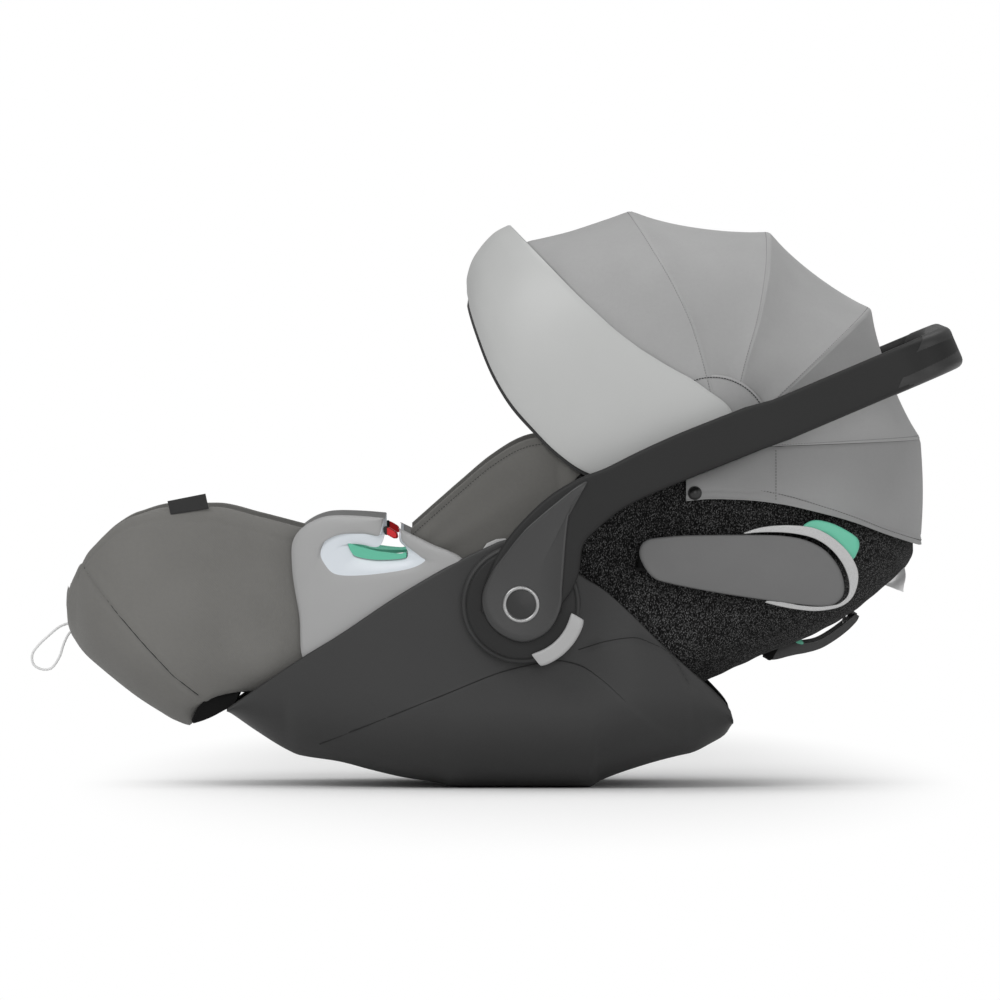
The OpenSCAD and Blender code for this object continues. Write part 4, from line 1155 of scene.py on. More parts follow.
# How far each seam leans away from its bow, at each distance from the pivot
NO_LEAN = [(0, 0), (300, 0)]
TOP_LEAN = [(40, -3), (76, -2), (130, -3), (180, -2), (222, 0)]
FRONT_LEAN = [(40, -8), (87, -8), (120, -7.4), (162, -5.2), (208, -2.4), (253, 0)]
# How far the cloth lies above a bow, and out from its sides
CLOTH_LIFT = 4.2
CLOTH_ASIDE = 3.3
HUB_STOP = 38


def arch(r, w, share, stop=HUB_STOP):
    """A superellipse from the left foot (-1) over the crown to the right (1), as reach and y."""
    last = np.arccos(np.clip(stop / r, 0, 1) ** (HOOD_POWER / 2))
    f = share * last
    power = 2 / HOOD_POWER
    return r * np.cos(f) ** power, w * np.sign(f) * np.abs(np.sin(f)) ** power


def hood_point(degrees, r, y):
    """The point at an angle above level and a distance from the hood's pivots, y across."""
    a = np.radians(degrees)
    return np.stack([HOOD[0] + r * np.cos(a), y, HOOD[2] + r * np.sin(a)], -1)


def bow_line(bow, lean, share):
    """The line that cloth follows over a bow."""
    rho, y = arch(bow[1] + CLOTH_LIFT, bow[2] + CLOTH_ASIDE + CLOTH_LIFT * 0.2, share)
    return hood_point(bow[0] + smooth(rho, lean), rho, y)


def hood_sheet(low, high, lean_low, lean_high, t, share, sag):
    """Cloth from one bow to the next: straight across, drawn in between them, and puckered near its hem."""
    a = bow_line(low, lean_low, share)
    b = bow_line(high, lean_high, share)
    t = t[:, None, None]
    flat = a[None] * (1 - t) + b[None] * t
    normal = outward(flat)
    # A parabola between the bows, deepest at the crown
    crown = np.cos(share * np.pi / 2) ** 0.35
    hollow = sag * 4 * (t * (1 - t))[..., 0] * (0.25 + 0.75 * crown[None])
    across = np.linalg.norm(b - a, axis=-1)[None]
    gap = np.minimum(t[..., 0], 1 - t[..., 0]) * across
    # A narrow tuck at each seam, fine puckers some 7 mm from it, and shallow waves in the middle
    tuck_depth, pucker_depth, wave_depth = 0.8, 0.28, 0.5
    tuck = tuck_depth * bell(gap / 0.8)
    along = lengths(a)[None]
    ripple = pucker_depth * np.sin(along / 9.0 + 2.0 * t[..., 0]) * bell((gap - 7) / 7)
    ripple += wave_depth * np.sin(along / 31.0 + 5.0 * t[..., 0]) * np.sin(np.pi * t[..., 0])
    return flat - normal * (hollow + tuck + ripple)[..., None]


def hood_panel(name, node, low, high, leans, bodies, sag):
    """One panel, with a fine row of stitches beside its rear seam."""
    share = np.linspace(-1, 1, 150)
    t = np.concatenate([[0, 0.007, 0.016, 0.028], np.linspace(0.06, 0.94, 28), [0.972, 0.984, 0.993, 1]])
    outer = hood_sheet(low, high, *leans, t, share, sag)
    made = shell(name, outer, 1.8, HOOD_CLOTH)
    count = len(made.data.vertices)
    weights = np.repeat(t, count // len(t))
    share_joint(made, *bodies, weights)
    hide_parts(node)
    normals = outward(outer)
    row = 3
    path = outer[row] + normals[row] * 0.05
    stitches(name + "_stitches", path, normals[row], THREAD_GREY, 2.8, 1.7, 0.2, bodies[0])


# Each panel's bows, how its seams lean, the bodies that it joins, and how far it sags between them
for panel, bows, leans, bodies, sag in (
    ("rear", (REAR_BOW, UPPER_BOW), (NO_LEAN, NO_LEAN), ("backrest", "hood_upper"), 7),
    ("upper", (UPPER_BOW, TOP_BOW), (NO_LEAN, TOP_LEAN), ("hood_upper", "hood_top"), 7),
    ("top", (TOP_BOW, FRONT_BOW), (TOP_LEAN, FRONT_LEAN), ("hood_top", "hood_front"), 7),
    ("front", (FRONT_BOW, BRIM), (FRONT_LEAN, NO_LEAN), ("hood_front", "visor"), 2),
):
    hood_panel("hood_cloth_" + panel, "hood_panel_" + panel, *bows, leans, bodies, sag)
coat(("hood_bow_rear", "hood_bow_upper", "hood_bow_top", "hood_bow_front", "hood_pivots"), BLACK_PLASTIC)


def hub_patch():
    """A round patch of cloth over each pivot, edged with a dark line of stitches."""
    y = -(HOOD_HALF_W + 12.2)
    turn = np.radians(np.linspace(8, 172, 60))
    hub = np.array([HOOD[0] - 12, y, HOOD[2] + 15])
    ring = hub + 58 * np.stack([np.cos(turn), 0 * turn, np.sin(turn)], -1)
    rows = []
    for share in (0.3, 0.6, 0.9, 0.97, 1.0):
        row = hub + (ring - hub) * share
        row[:, 1] += 2.4 * max(share - 0.96, 0) / 0.04 + 0.4 * share
        rows.append(row)
    grid = np.array(rows)
    back = grid + (0, 3.2, 0)
    made = solid("hub_patches", walls(grid, back, 2), HOOD_CLOTH, crease=60, both=True)
    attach(made, "hood_top")
    line = hub + (ring - hub) * 0.955 + (0, -0.1, 0)
    stitches("hub_patch_stitches", line, (0, -1, 0), THREAD_DARK, 2.8, 2.1, 0.55, "hood_top", both=True)


hub_patch()

# ---- Skirt of the hood ----
HEM = [(165, 287), (190, 289), (223, 288), (258, 284), (294, 276), (330, 266), (365, 253), (400, 241)]
SKIRT_START = 165


def skirt_plan(count, proud):
    """The skirt seen from above: straight sides and a superellipse round the head end, left to right."""
    share = np.linspace(-1, 1, count)
    r = REAR_BOW[1] + CLOTH_LIFT + proud
    w = REAR_BOW[2] + CLOTH_ASIDE + proud
    power = 2 / HOOD_POWER
    x = r * np.cos(share * np.pi / 2) ** power
    y = w * np.sign(share) * np.abs(np.sin(share * np.pi / 2)) ** power
    lead = np.linspace(SKIRT_START - HOOD[0], 0, 12)[:-1]
    x = np.concatenate([lead, x, lead[::-1]])
    y = np.concatenate([np.full(11, -w), y, np.full(11, w)])
    return x, y


def skirt():
    """The cloth below the rear bow, gathered a little, with a folded hem and a stitch line above it."""
    x, y = skirt_plan(170, 0)
    top = HOOD[2] - 0.5 + x * math.tan(math.radians(REAR_BOW[0])) - 14 * np.maximum(0, 1 - x / 40)
    low = smooth(HOOD[0] + x, HEM)
    t = np.concatenate([np.linspace(0, 0.1, 8), np.linspace(0.14, 0.86, 22), np.linspace(0.9, 1, 6)])
    t = t[:, None]
    z = low + (top - low) * t
    grid = stacked(HOOD[0] + x, y, z)
    normal = outward(grid)
    up = z - low
    along = lengths(grid[0])[None]
    # Loose gathers that die out at both edges
    gather = 1.3
    push = gather * np.sin(along / 23.0) * np.sin(along / 61.0 + 1) * np.sin(np.pi * t)
    # The hem's rolled edge, its folded width, and the groove above it
    push += 1.2 * bell((up - 0.5) / 1.4) + 0.5 * bell((up - 4.5) / 3.0) - 0.7 * bell((up - 8.5) / 1.3)
    # A bulge in the middle, and a tuck under the bow
    bulge = 2.2
    push += bulge * np.sin(np.pi * np.clip(t, 0, 1)) - 1.0 * bell((top - z) / 2.0)
    # On each side of the carrier, the groove of an upright seam with ridges beside it
    for side in (-1, 1):
        seam = np.hypot(HOOD[0] + x - 250, (y - side * 172) * 0.3)
        push -= 1.3 * bell(seam / 1.3)[None] - 0.7 * bell((seam - 4) / 2)[None]
    grid = grid + normal * push[..., None]
    made = shell("skirt_cloth", grid, 1.6, SKIRT_CLOTH_PAINTED_SHADE)
    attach(made, "backrest")
    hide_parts("hood_skirt")
    height = 12.5 - 8 * ease((x + 20) / 190)
    path = np.stack([HOOD[0] + x, y, low + height], -1) + normal[3] * 0.95
    stitches("skirt_stitches", path, normal[3], THREAD_DARK, 3.0, 1.9, 0.3, "backrest")
    place_x = np.argmin(np.abs(HOOD[0] + x[: len(x) // 2] - 252))
    facing = normal[2:-2, place_x]
    rise = grid[2:-2, place_x] + facing * 0.1
    stitches("skirt_seam_stitches", rise, facing, THREAD_DARK, 3.0, 1.9, 0.28, "backrest", both=True)


def snaps():
    """The round press studs that hold the skirt's front corners."""
    at = (173, 0, 295)
    face = HOOD_HALF_W + 3.4
    profile = [(0.01, face), (7.2, face)]
    profile += arc(0, face + 1.0, 7.2, 5.2, 0, np.pi / 2 - 0.02, 10)
    made = solid("snap_studs", revolve(profile, at, 40), BLACK_PLASTIC, joined=True, both=True)
    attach(made, "backrest")


skirt()
snaps()

# ---- Visor ----
VISOR_REAR = [(11, 50), (36, 78), (58, 105), (78, 116.5), (92, 122.5), (110, 127.2), (135, 131),
              (170, 133.2), (230, 134), (310, 134)]
VISOR_FRONT = [(11, 208), (60, 203), (92, 199.5), (115, 195.5), (137, 190.8), (166, 182),
               (192, 174.3), (217.5, 168.3), (241, 162.6), (267.7, 156.2), (290, 151.5),
               (300, 149.4), (310, 148.6)]
VISOR_CROWN = [(0, 308.5), (0.25, 312), (0.6, 311), (0.85, 306.5), (1, 298), (1.12, 290)]
VISOR_STOP = 11


def visor_sheet(t, share, inset, stop=VISOR_STOP):
    """The visor between its rear and front edges: t from one to the other, share from foot to foot."""
    rows = []
    for at in t:
        crown = float(smooth(np.array([at]), VISOR_CROWN)[0]) - inset
        rho, y = arch(crown, VISOR_HALF_W - inset, share, stop)
        rows.append(hood_point(smooth(rho, VISOR_REAR) * (1 - at) + smooth(rho, VISOR_FRONT) * at, rho, y))
    return np.array(rows)


def visor():
    """A stiff cap, full in the middle and rolled at its edges, with a dark lining and a joining strip."""
    share = np.sin(np.linspace(-np.pi / 2, np.pi / 2, 210))
    t = np.concatenate([[0, 0.008, 0.02], np.linspace(0.05, 0.95, 34), [0.98, 0.992, 1]])
    grid = visor_sheet(t, share, 0)
    normal = outward(grid)
    # Fullest midway between its edges and at the crown, and turned in at both edges
    fullness = 3.0
    push = fullness * np.sin(np.pi * t)[:, None] * (1 - 0.6 * np.abs(share)[None])
    push -= 1.0 * bell(t / 0.012)[:, None] + 0.6 * bell((1 - t) / 0.01)[:, None]
    grid = grid + normal * push[..., None]
    made = shell("visor_cloth", grid, 2.2, VISOR_CLOTH, lip=4)
    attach(made, "visor")
    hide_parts("visor")
    inner = visor_sheet(np.linspace(0.8, 1.03, 9), share, 3.2, 96)
    lining = shell("visor_edge_lining", inner, 2.2, LINING_CLOTH)
    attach(lining, "visor")
    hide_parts("visor_lining")
    brim = bow_line(BRIM, NO_LEAN, share)
    under = visor_sheet(np.array([0.3]), share, 3.4, HUB_STOP)[0]
    step = np.linspace(0, 1, 8)[:, None, None]
    strip = brim * (1 - step) + under * step
    joining = shell("visor_joining_strip", strip, 1.2, HOOD_CLOTH)
    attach(joining, "visor")


visor()


# ---- Backrest ----
BACK_END = (203, 191)
BACK_ARC = [(RECLINE[0] + 60 * math.cos(math.radians(a)), RECLINE[2] + 60 * math.sin(math.radians(a)))
            for a in range(190, 301, 10)]
BACK_BOTTOM = [*BACK_ARC, (182, 104), (219, 121.5), (249, 135), (279, 146), (327, 171), (366, 201),
               (384, 216), (393, 229), (394, 236)]
BACK_TOP = [(15, 103), (20, 135), (30, 200), (45, 300), (60, 378), (110, 385), (160, 380),
            (203, 368), (260, 345), (320, 310), (370, 270), (391, 246), (394, 239)]
BACK_ROUND = (70, 80)
BACK_WIDTH = [(15, BACK_HALF_W), (BACK_END[0], BACK_HALF_W)] + [
    (BACK_END[0] + BACK_END[1] * math.sin(a) ** (2 / 3), BACK_HALF_W * math.cos(a) ** (2 / 3))
    for a in np.radians([8, 16, 26, 36, 46, 56, 66, 74, 82, 87])
]


def cushion(name, node, body, x, curves, turn, inset, thick, paint, counts, swell, voxel=5):
    """A padded liner: the U between two insets of its shell, filled with air."""
    width, low, top = curves
    outer = u_surface(x, width, low, top, turn, inset, counts)
    inner = u_surface(x, width, low, top, turn, inset + thick, counts)
    made = solid(name, walls(outer, inner, 5), paint, crease=75)
    made = soften(made, name, voxel, swell)
    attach(made, body)
    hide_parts(node)
    return made


def backrest():
    """The shell under its knitted cover, whose loops stand out a little unevenly."""
    x = np.concatenate([np.linspace(15.5, 370, 130), np.linspace(371, 393.4, 30)])
    outer = u_surface(x, BACK_WIDTH, BACK_BOTTOM, BACK_TOP, BACK_ROUND, 0, (40, 30, 16))
    inner = u_surface(x, BACK_WIDTH, BACK_BOTTOM, BACK_TOP, BACK_ROUND, 3, (40, 30, 16))
    # Two crossed waves, about 22 and 36 mm long
    at_x, at_z = outer[..., 0], outer[..., 2]
    lumps = 0.35 * np.sin(at_x / 7.3 + at_z / 4.1) * np.sin(at_z / 6.7 - at_x / 11)
    outer = outer + outward(outer) * lumps[..., None]
    made = solid("knit_cover", walls(outer, inner, 3), KNIT, crease=70)
    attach(made, "backrest")
    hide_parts("backrest_shell")


def back_cushion():
    """The liner of the backrest, filled, in jersey."""
    x = np.linspace(27, 357, 70)
    top = [(p[0], p[1] - 7) for p in BACK_TOP]
    curves = (BACK_WIDTH, BACK_BOTTOM, top)
    cushion("back_cushion", "backrest_cushion", "backrest", x, curves, BACK_ROUND, 5.2, 16, SEAT_CLOTH,
            (24, 20, 12), 1.2)


def seat_cushion():
    """The seat's liner, narrower towards the foot end, in the same jersey."""
    x = np.linspace(-197, -9, 44)
    low = [(-208, 92), (-190, 76), (-150, 60), (-60, 45), (8, 42)]
    top = [(-200, 188), (-190, 197), (-160, 202), (-120, 201), (-90, 198), (-62, 187), (-6, 148)]
    half = BASE_HALF_W - 9.6
    width = [(-208, half - (TAPER_X + 208) * math.tan(TAPER)), (TAPER_X, half), (8, half)]
    cushion("seat_liner", "seat_cushion", "base", x, (width, low, top), (80, 70), 5.4, 12.5, SEAT_CLOTH,
            (20, 20, 12), 1.2)


backrest()
back_cushion()
seat_cushion()

# ---- Side wings between the seat and the backrest ----
WING_TOP = [(-110, 258), (-84, 281), (-60, 302), (-30, 327), (-2, 344), (10, 348), (46, 353), (70, 356)]
WING_LOW = [(-110, 208), (-90, 206), (-62, 197), (8, 214), (28, 206), (36, 246), (40, 272),
            (46, 296), (58, 314), (70, 322)]
TUB_GAP = 9.6


def wings():
    """Cloth from the seat's rim up to the hood: a rolled top edge, and folds that fan from a low corner."""
    x = np.linspace(-110, 70, 124)
    low = smooth(x, WING_LOW)
    top = smooth(x, WING_TOP)
    beside_tub = BASE_HALF_W - TUB_GAP - 3.4 + np.minimum(x - TAPER_X, 0) * math.tan(TAPER)
    y = np.minimum(BACK_HALF_W - 3.9, beside_tub)
    y = y + 6.1 * ease((x - 36) / 14)
    t = np.concatenate([np.linspace(0, 0.85, 36), np.linspace(0.87, 1, 12)])
    z = low[:, None] + (top - low)[:, None] * t[None]
    grid = stacked(x[:, None], -y[:, None], z)
    # Folds fan out from a point ahead of the low front corner, and fade towards the rear
    fan = np.arctan2(z - 200, x[:, None] + 150)
    fold = 0.55 * np.sin(fan * 26) * np.sin(np.pi * t)[None] * (1 - ease((x - 6) / 24))[:, None]
    # The rolled top edge, and the groove of its stitches
    rim = top[:, None] - z
    fold = fold + 1.1 * bell(rim / 2.2) - 0.5 * bell((rim - 6) / 1.6)
    grid[..., 1] -= 0.3 + 0.8 * fold
    inner = grid + (0, 3.0, 0)
    made = solid("wing_cloth", walls(grid, inner, 4), WING_CLOTH_PAINTED_SHADE, crease=70, both=True)
    share_along(made, "base", "backrest", -100, 0)
    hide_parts("side_gussets")
    path = np.stack([x, -y - 1.3, top - 6.2], -1)
    row = stitches("wing_stitches", path, (0, -1, 0.2), THREAD_DARK, 3.2, 2.1, 0.34, None, both=True)
    share_along(row, "base", "backrest", -100, 0)


wings()

# ---- Leg rest ----
LEG_BOTTOM = [(-455, 175), (-454, 158), (-447, 144), (-438, 132), (-426, 121), (-386, 89),
              (-362, 74), (-346, 65), (-330, 60), (-310, 60), (-218, 72)]
LEG_ARCH = [(-455, 40), (-331, 60), (-327.5, 72), (-321, 83), (-312, 90), (-301, 94), (-286, 96),
            (-261, 98), (-218, 101)]
LEG_TOP = [(-455, 184), (-449, 203), (-440, 221), (-429, 236), (-408, 257), (-386, 269),
           (-351, 274.5), (-307, 271), (-261, 261), (-218, 250)]
LEG_TOE = -455
LEG_WIDTH = [(LEG_TOE + 85 * (1 - math.cos(a)), LEG_HALF_W - 60 + 60 * math.sin(a))
             for a in np.radians(range(0, 91, 9))]
LEG_WIDTH += [(-330, LEG_HALF_W), (-290, LEG_HALF_W - 4), (-218, LEG_HALF_W - 5)]
LEG_SEAM = [(-438, 221), (-422, 199), (-405, 176), (-388, 156), (-375, 141), (-362, 127),
            (-348, 112), (-320, 90)]


def leg_seam_x(z):
    """Where the seam down the cheek lies at a height."""
    along, up = np.array(LEG_SEAM[::-1], float).T
    return np.interp(z, up, along)


def leg_cover():
    """The cover as a padded shell: full cheeks, slack folds near the hinge, and a seam down each cheek."""
    x = np.concatenate([np.linspace(-455, -440, 16)[:-1], np.linspace(-440, -218, 110)])
    outer = u_surface(x, LEG_WIDTH, LEG_BOTTOM, LEG_TOP, (70, 74), 0, (46, 28, 14), LEG_ARCH)
    rolled = [(p[0], p[1] + 7.5 * float(ease((p[0] + 400) / 90))) for p in LEG_TOP]
    inner = u_surface(x, LEG_WIDTH, LEG_BOTTOM, rolled, (70, 74), 4.2, (46, 28, 14), LEG_ARCH)
    low, top = smooth(x, LEG_BOTTOM), smooth(x, LEG_TOP)
    height = (outer[..., 2] - low[:, None]) / (top - low)[:, None]
    # Full cheeks: the swell dies out towards the edges, the toe and the middle of the floor
    fullness = 5.0
    cheek = ease(np.abs(outer[..., 1]) / 70)
    swell = fullness * np.sin(np.pi * np.clip(height, 0, 1)) ** 0.8 * ease((x[:, None] + 455) / 30) * cheek
    # The seam's groove, with the cloth swelling on both sides of it
    near_seam = (outer[..., 0] - leg_seam_x(outer[..., 2])) * 0.75
    seam = -1.6 * bell(near_seam / 1.8) + 0.7 * bell((near_seam - 5) / 4) + 0.7 * bell((near_seam + 5) / 4)
    seam = seam * cheek * ease((outer[..., 2] - 80) / 20)
    # Slack folds near the hinge, shallow waves all over, and a groove under the top edge
    slack = np.sin((outer[..., 0] * 0.4 + outer[..., 2]) / 10.5) * 1.1 * bell((outer[..., 0] + 258) / 34)
    slack = slack + 0.7 * np.sin(outer[..., 0] / 19 + outer[..., 2] / 27) * np.sin(outer[..., 2] / 21)
    rim = top[:, None] - outer[..., 2]
    slack = slack - 0.8 * bell((rim - 7) / 1.8) * cheek
    outer = outer + outward(outer) * (swell + seam + slack * cheek)[..., None]
    made = solid("leg_cover", walls(outer, inner, 5), COVER_CLOTH, crease=75)
    share_along(made, "leg_rest", "base", -335, -222)
    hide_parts("leg_rest_cover")
    seam_z = np.linspace(219, 92, 70)
    cheek_side = outer[:, : outer.shape[1] // 2]
    line = on_side(leg_seam_x(seam_z), seam_z, (x, cheek_side), 0.25)
    seam_thread = solid("leg_seam", tube(line, 0.42), THREAD_DARK, ends="cap", both=True)
    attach(seam_thread, "leg_rest")


def leg_pad():
    """The pad inside the cover's toe."""
    x = np.linspace(-437, -349, 30)
    low = [(p[0], p[1] + 44) for p in LEG_BOTTOM]
    top = [(p[0], p[1] - 36) for p in LEG_TOP]
    cushion("toe_pad", "leg_rest_pad", "leg_rest", x, (LEG_WIDTH, low, top), (70, 60), 6.4, 8.5, SEAT_CLOTH,
            (14, 16, 10), 1.2, voxel=4)


def label_tape():
    """A blank folded tape sewn into the cover's rim."""
    y = -(LEG_HALF_W + 0.6)
    corners_xz = [(-350, 273), (-353, 285.5), (-315, 293), (-312, 279)]
    across = np.linspace(0, 1, 12)
    up = np.linspace(0, 1, 8)
    a, b, c, d = (np.array(p, float) for p in corners_xz)
    foot = (a + (d - a) * across[:, None])[:, None]
    head = (b + (c - b) * across[:, None])[:, None]
    flat = foot * (1 - up[None, :, None]) + head * up[None, :, None]
    wave = 0.5 * np.sin(across[:, None] * 5 + up[None] * 2)
    grid = np.stack([flat[..., 0], y - wave, flat[..., 1]], -1)
    made = solid("label_tape", walls(grid, grid + (0, 1.3, 0), 3), TAPE, crease=70)
    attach(made, "leg_rest")
    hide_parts("leg_rest_label")


def pull_loop():
    """The white cord loop at the toe, whose thickness ripples like two twisted strands."""
    route = [(-454, 0, 161.4), (-463, 0, 158), (-471, 0, 152), (-484, 0, 140), (-491, 0, 130),
             (-490, 0, 120), (-482, 0, 115), (-472, 0, 116), (-464, 0, 127), (-460, 0, 139),
             (-456, 0, 148), (-452.9, 0, 152.4)]
    path = spline(route, 90)
    twist = 1 + 0.1 * np.sin(lengths(path) * 1.6)
    made = solid("loop_cord", tube(path, 1.25 * twist, 12), CORD, ends="cap")
    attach(made, "leg_rest")
    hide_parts("pull_loop")


def gaiter():
    """A matt black plate under the cover's arch, between the tray and the foot of the base: partly the black
    of the tray behind it, partly painted shade in the hollow under the leg rest.
    """
    edge = [(-329, 64.5), (-325, 77), (-314, 88), (-302, 94), (-288, 97), (-281, 97), (-283, 88),
            (-288, 81), (-296, 77), (-309, 70), (-322, 65)]
    outline = spline(edge, 60, closed=True)
    middle = outline.mean(axis=0)
    end = ((110, 0.7), (111.4, 0.93), (109.5, 1.0), (60, 1.0))
    rings = []
    for y, size in (*[(-y, size) for y, size in end], *end[::-1]):
        flat = middle + (outline - middle) * size
        rings.append(np.stack([flat[:, 0], np.full(60, y), flat[:, 1]], -1))
    made = solid("toe_arch_painted_shade", np.array(rings), MATT_BLACK, ends="cap", crease=60)
    share_along(made, "leg_rest", "base", -325, -285)


leg_cover()
gaiter()
leg_pad()
label_tape()
pull_loop()
coat(("leg_rest_tray",), BLACK_PLASTIC)

# ---- Side protectors ----
# The point, in X and Z, that the guard's rings close in on
GUARD_MIDDLE = (222, 223)
GUARD_EDGE = [(118.6, 230), (119, 242), (126, 248.6), (140, 251), (171, 253), (240, 253.4),
              (268, 251.6), (288, 246.5), (304, 237), (316, 222), (321.6, 206), (320.6, 193),
              (312, 184.6), (298, 182.4), (270, 185), (240, 189), (194, 196), (148, 205),
              (130, 212)]
RIM_OUT = [(222, 255.6), (240, 261), (265, 263), (291, 260.4), (310, 251), (326, 236), (335, 219),
           (335, 204), (329, 190), (317, 181.6), (297, 177.8), (278, 178.8), (259, 182), (243, 186)]
RIM_IN = [(222, 254.4), (241, 256), (266, 255.4), (290, 250.6), (307, 240.6), (320, 225),
          (326.5, 208), (325.8, 194), (318, 185.6), (308, 183), (294, 182), (278, 183.4),
          (260, 186.6), (245, 188)]
CATCH_EDGE = [(281, 261), (286, 266), (295, 268), (309, 265), (322, 259), (334, 251), (337, 244),
              (335, 236), (330, 229), (322, 238), (306, 251), (292, 258)]


def sections(middle, way, w, t, y):
    """Sections along a line in X and Z: w along each one's way, and t across the carrier from y."""
    x = middle[:, None, 0] + way[:, None, 0] * w
    z = middle[:, None, 1] + way[:, None, 1] * w
    return np.stack([x, y + t, z], -1)


def side_guards():
    """The panel: bonded cloth over foam, domed, in a silver frame that curls round its end."""
    # Pad, back plate, silver rim, release and hinge, each drawn once, on the left
    outline = spline(GUARD_EDGE, 160, closed=True)
    rings = dome(outline, GUARD_MIDDLE, -(GUARD_OUT - 12), -GUARD_OUT, 3.4, 2.4, 16)
    smaller = outline * 0.985 + np.array([222, 220]) * 0.015
    plate = dome(smaller, GUARD_MIDDLE, -GUARD_IN, -(GUARD_OUT - 12.4), 1.2)
    rim_out = spline(RIM_OUT, 120)
    rim_in = spline(RIM_IN, 120)
    half = (rim_out - rim_in) / 2
    reach = np.maximum(np.linalg.norm(half, axis=1), 0.5)
    w, t = rounded_section(reach, 6.8, 0.45, 0.3, 4)
    way = unit(half)
    centre = (rim_out + rim_in) / 2
    crescent = sections(centre, way, w, t, -(GUARD_OUT - 9.2))
    catch_edge = spline(CATCH_EDGE, 90, closed=True)
    catch = dome(catch_edge, (312, 255), -(GUARD_IN + 1), -(GUARD_OUT - 5.4), 2.6, 0.6)
    barrel = [(-1, 0.01), (-1, 5.4), (15, 5.4), (15, 0.01)]
    turn = np.linspace(0, 2 * np.pi, 32, endpoint=False)
    hinge_rings = np.stack([
        np.stack([121 + r * np.cos(turn), -GUARD_IN + 4.6 + r * np.sin(turn), np.full(32, 222.0 + z)], -1)
        for z, r in barrel
    ])
    for side, sign in SIDES:
        made = solid("guard_pad_" + side, rings * (1, sign, 1), GUARD_CLOTH, ends="cap", crease=60)
        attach(made, "guard_" + side)
        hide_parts("guard_panel_" + side)
        rim = solid("guard_rim_" + side, crescent * (1, sign, 1), SILVER_PAINT, ends="cap", crease=50)
        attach(rim, "guard_" + side)
        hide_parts("guard_frame_" + side)
        back = solid("guard_plate_" + side, plate * (1, sign, 1), BLACK_PLASTIC, ends="cap", crease=50)
        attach(back, "guard_" + side)
        knuckle = solid("guard_hinge_" + side, hinge_rings * (1, sign, 1), MATT_BLACK, ends="cap", crease=50)
        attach(knuckle, "guard_" + side)
        press = solid("guard_catch_" + side, catch * (1, sign, 1), TEAL_PLASTIC, ends="cap", crease=60)
        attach(press, "guard_button_" + side)
        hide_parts("guard_button_" + side)


side_guards()

# ---- Recline lever and the underside of the head end ----
LEVER_MIDDLE = [(243, 133), (250, 132), (258, 133.6), (266, 135.8), (275, 137.2), (285, 138),
                (299, 141.6), (313, 149.6), (325, 158.6), (334, 167), (337, 171)]
LEVER_HALF = [(243, 4.4), (250, 6.2), (258, 6.8), (266, 6.8), (275, 6.2), (285, 5.2), (299, 4.6),
              (325, 4.2), (334, 3.6), (337, 2.4)]


def lever_bar():
    """A slim curved bar on each side, from the hinge to the tip, joined by a round grip across the tips."""
    path = spline(LEVER_MIDDLE, 60)
    half = smooth(path[:, 0], LEVER_HALF)
    w, t = rounded_section(half, 4.2, 0.6, 0.4, 4)
    way = ahead(path)
    up = np.stack([-way[:, 1], way[:, 0]], -1)
    rings = sections(path, up, w, t, -56.2)
    bars = solid("lever_bars", rings, BLACK_PLASTIC, ends="cap", crease=50, both=True)
    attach(bars, "recline_lever")
    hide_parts("recline_lever")
    across = np.stack([np.full(40, 328.0), np.linspace(-56, 56, 40), np.full(40, 162.4)], -1)
    grip = solid("lever_grip", tube(across, 4.4, 16), BLACK_PLASTIC, ends="cap")
    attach(grip, "recline_lever")
    lug = spline([(332, -54, 166), (331.6, -54, 172), (331, -54, 178.5)], 12)
    lugs = solid("lever_lugs", tube(lug, 2.6), BLACK_PLASTIC, ends="cap", both=True)
    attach(lugs, "recline_lever")


lever_bar()


def lever_tip():
    """The green mark inside the lever's opening, at its left and right end."""
    edge = [(274, 146.4), (276.4, 142.6), (282, 141), (283.4, 143), (279, 146.6)]
    rings = dome(spline(edge, 30, closed=True), (278.6, 144), -46, -60.6, 0.8)
    made = solid("lever_marks", rings, TEAL_PLASTIC, ends="cap", both=True)
    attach(made, "recline_lever")
    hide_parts("recline_lever_tip")


lever_tip()
rounded_copy("hinge_plates", "hinge_brackets", MATT_BLACK, 0.6, "backrest", 2)


def care_label():
    """The folded care label that hangs from the cover's seam under the head end."""
    across = np.linspace(0, 1, 12)[:, None]
    drop = np.linspace(0, 1, 14)[None]
    x = 370 + 14.5 * across - 4.5 * drop * (1 - across) + 1.2 * np.sin(drop * 5)
    z = 206 + 12 * across - (5 + 19 * across) * drop
    y = -52 + 5 * np.sin(across * 3 + drop * 2) + 0 * x
    grid = np.stack([x, y, z], -1)
    made = solid("care_label", walls(grid, grid + (0, 0.7, 0), 2), CARE_TAPE, crease=70)
    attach(made, "backrest")


care_label()

# ---- Headrest, harness and buckle, in the backrest's own frame ----
BACK_WAY = np.array([math.cos(BACK_SLOPE), 0, math.sin(BACK_SLOPE)])
BACK_UP = np.array([-math.sin(BACK_SLOPE), 0, math.cos(BACK_SLOPE)])
HEAD_V = -32
HEAD_U = (85, 221)
HEAD_COUNTS = (10, 14, 12)


def on_back(points):
    """Points given as along the back, across and away from it, as points in space."""
    points = np.asarray(points, float)
    along, aside, away = points[..., :1], points[..., 1:2], points[..., 2:]
    return RECLINE * (1, 0, 1) + along * BACK_WAY + away * BACK_UP + aside * (0, 1, 0)


def head_row(u, half_w, low, high, turn):
    """The headrest's U at stations u, as [u, y, v]."""
    sizes = (np.full(len(u), size) for size in (half_w, low, high))
    y, v = u_section(*sizes, turn, turn, *HEAD_COUNTS)
    return stacked(u[:, None], y, v)


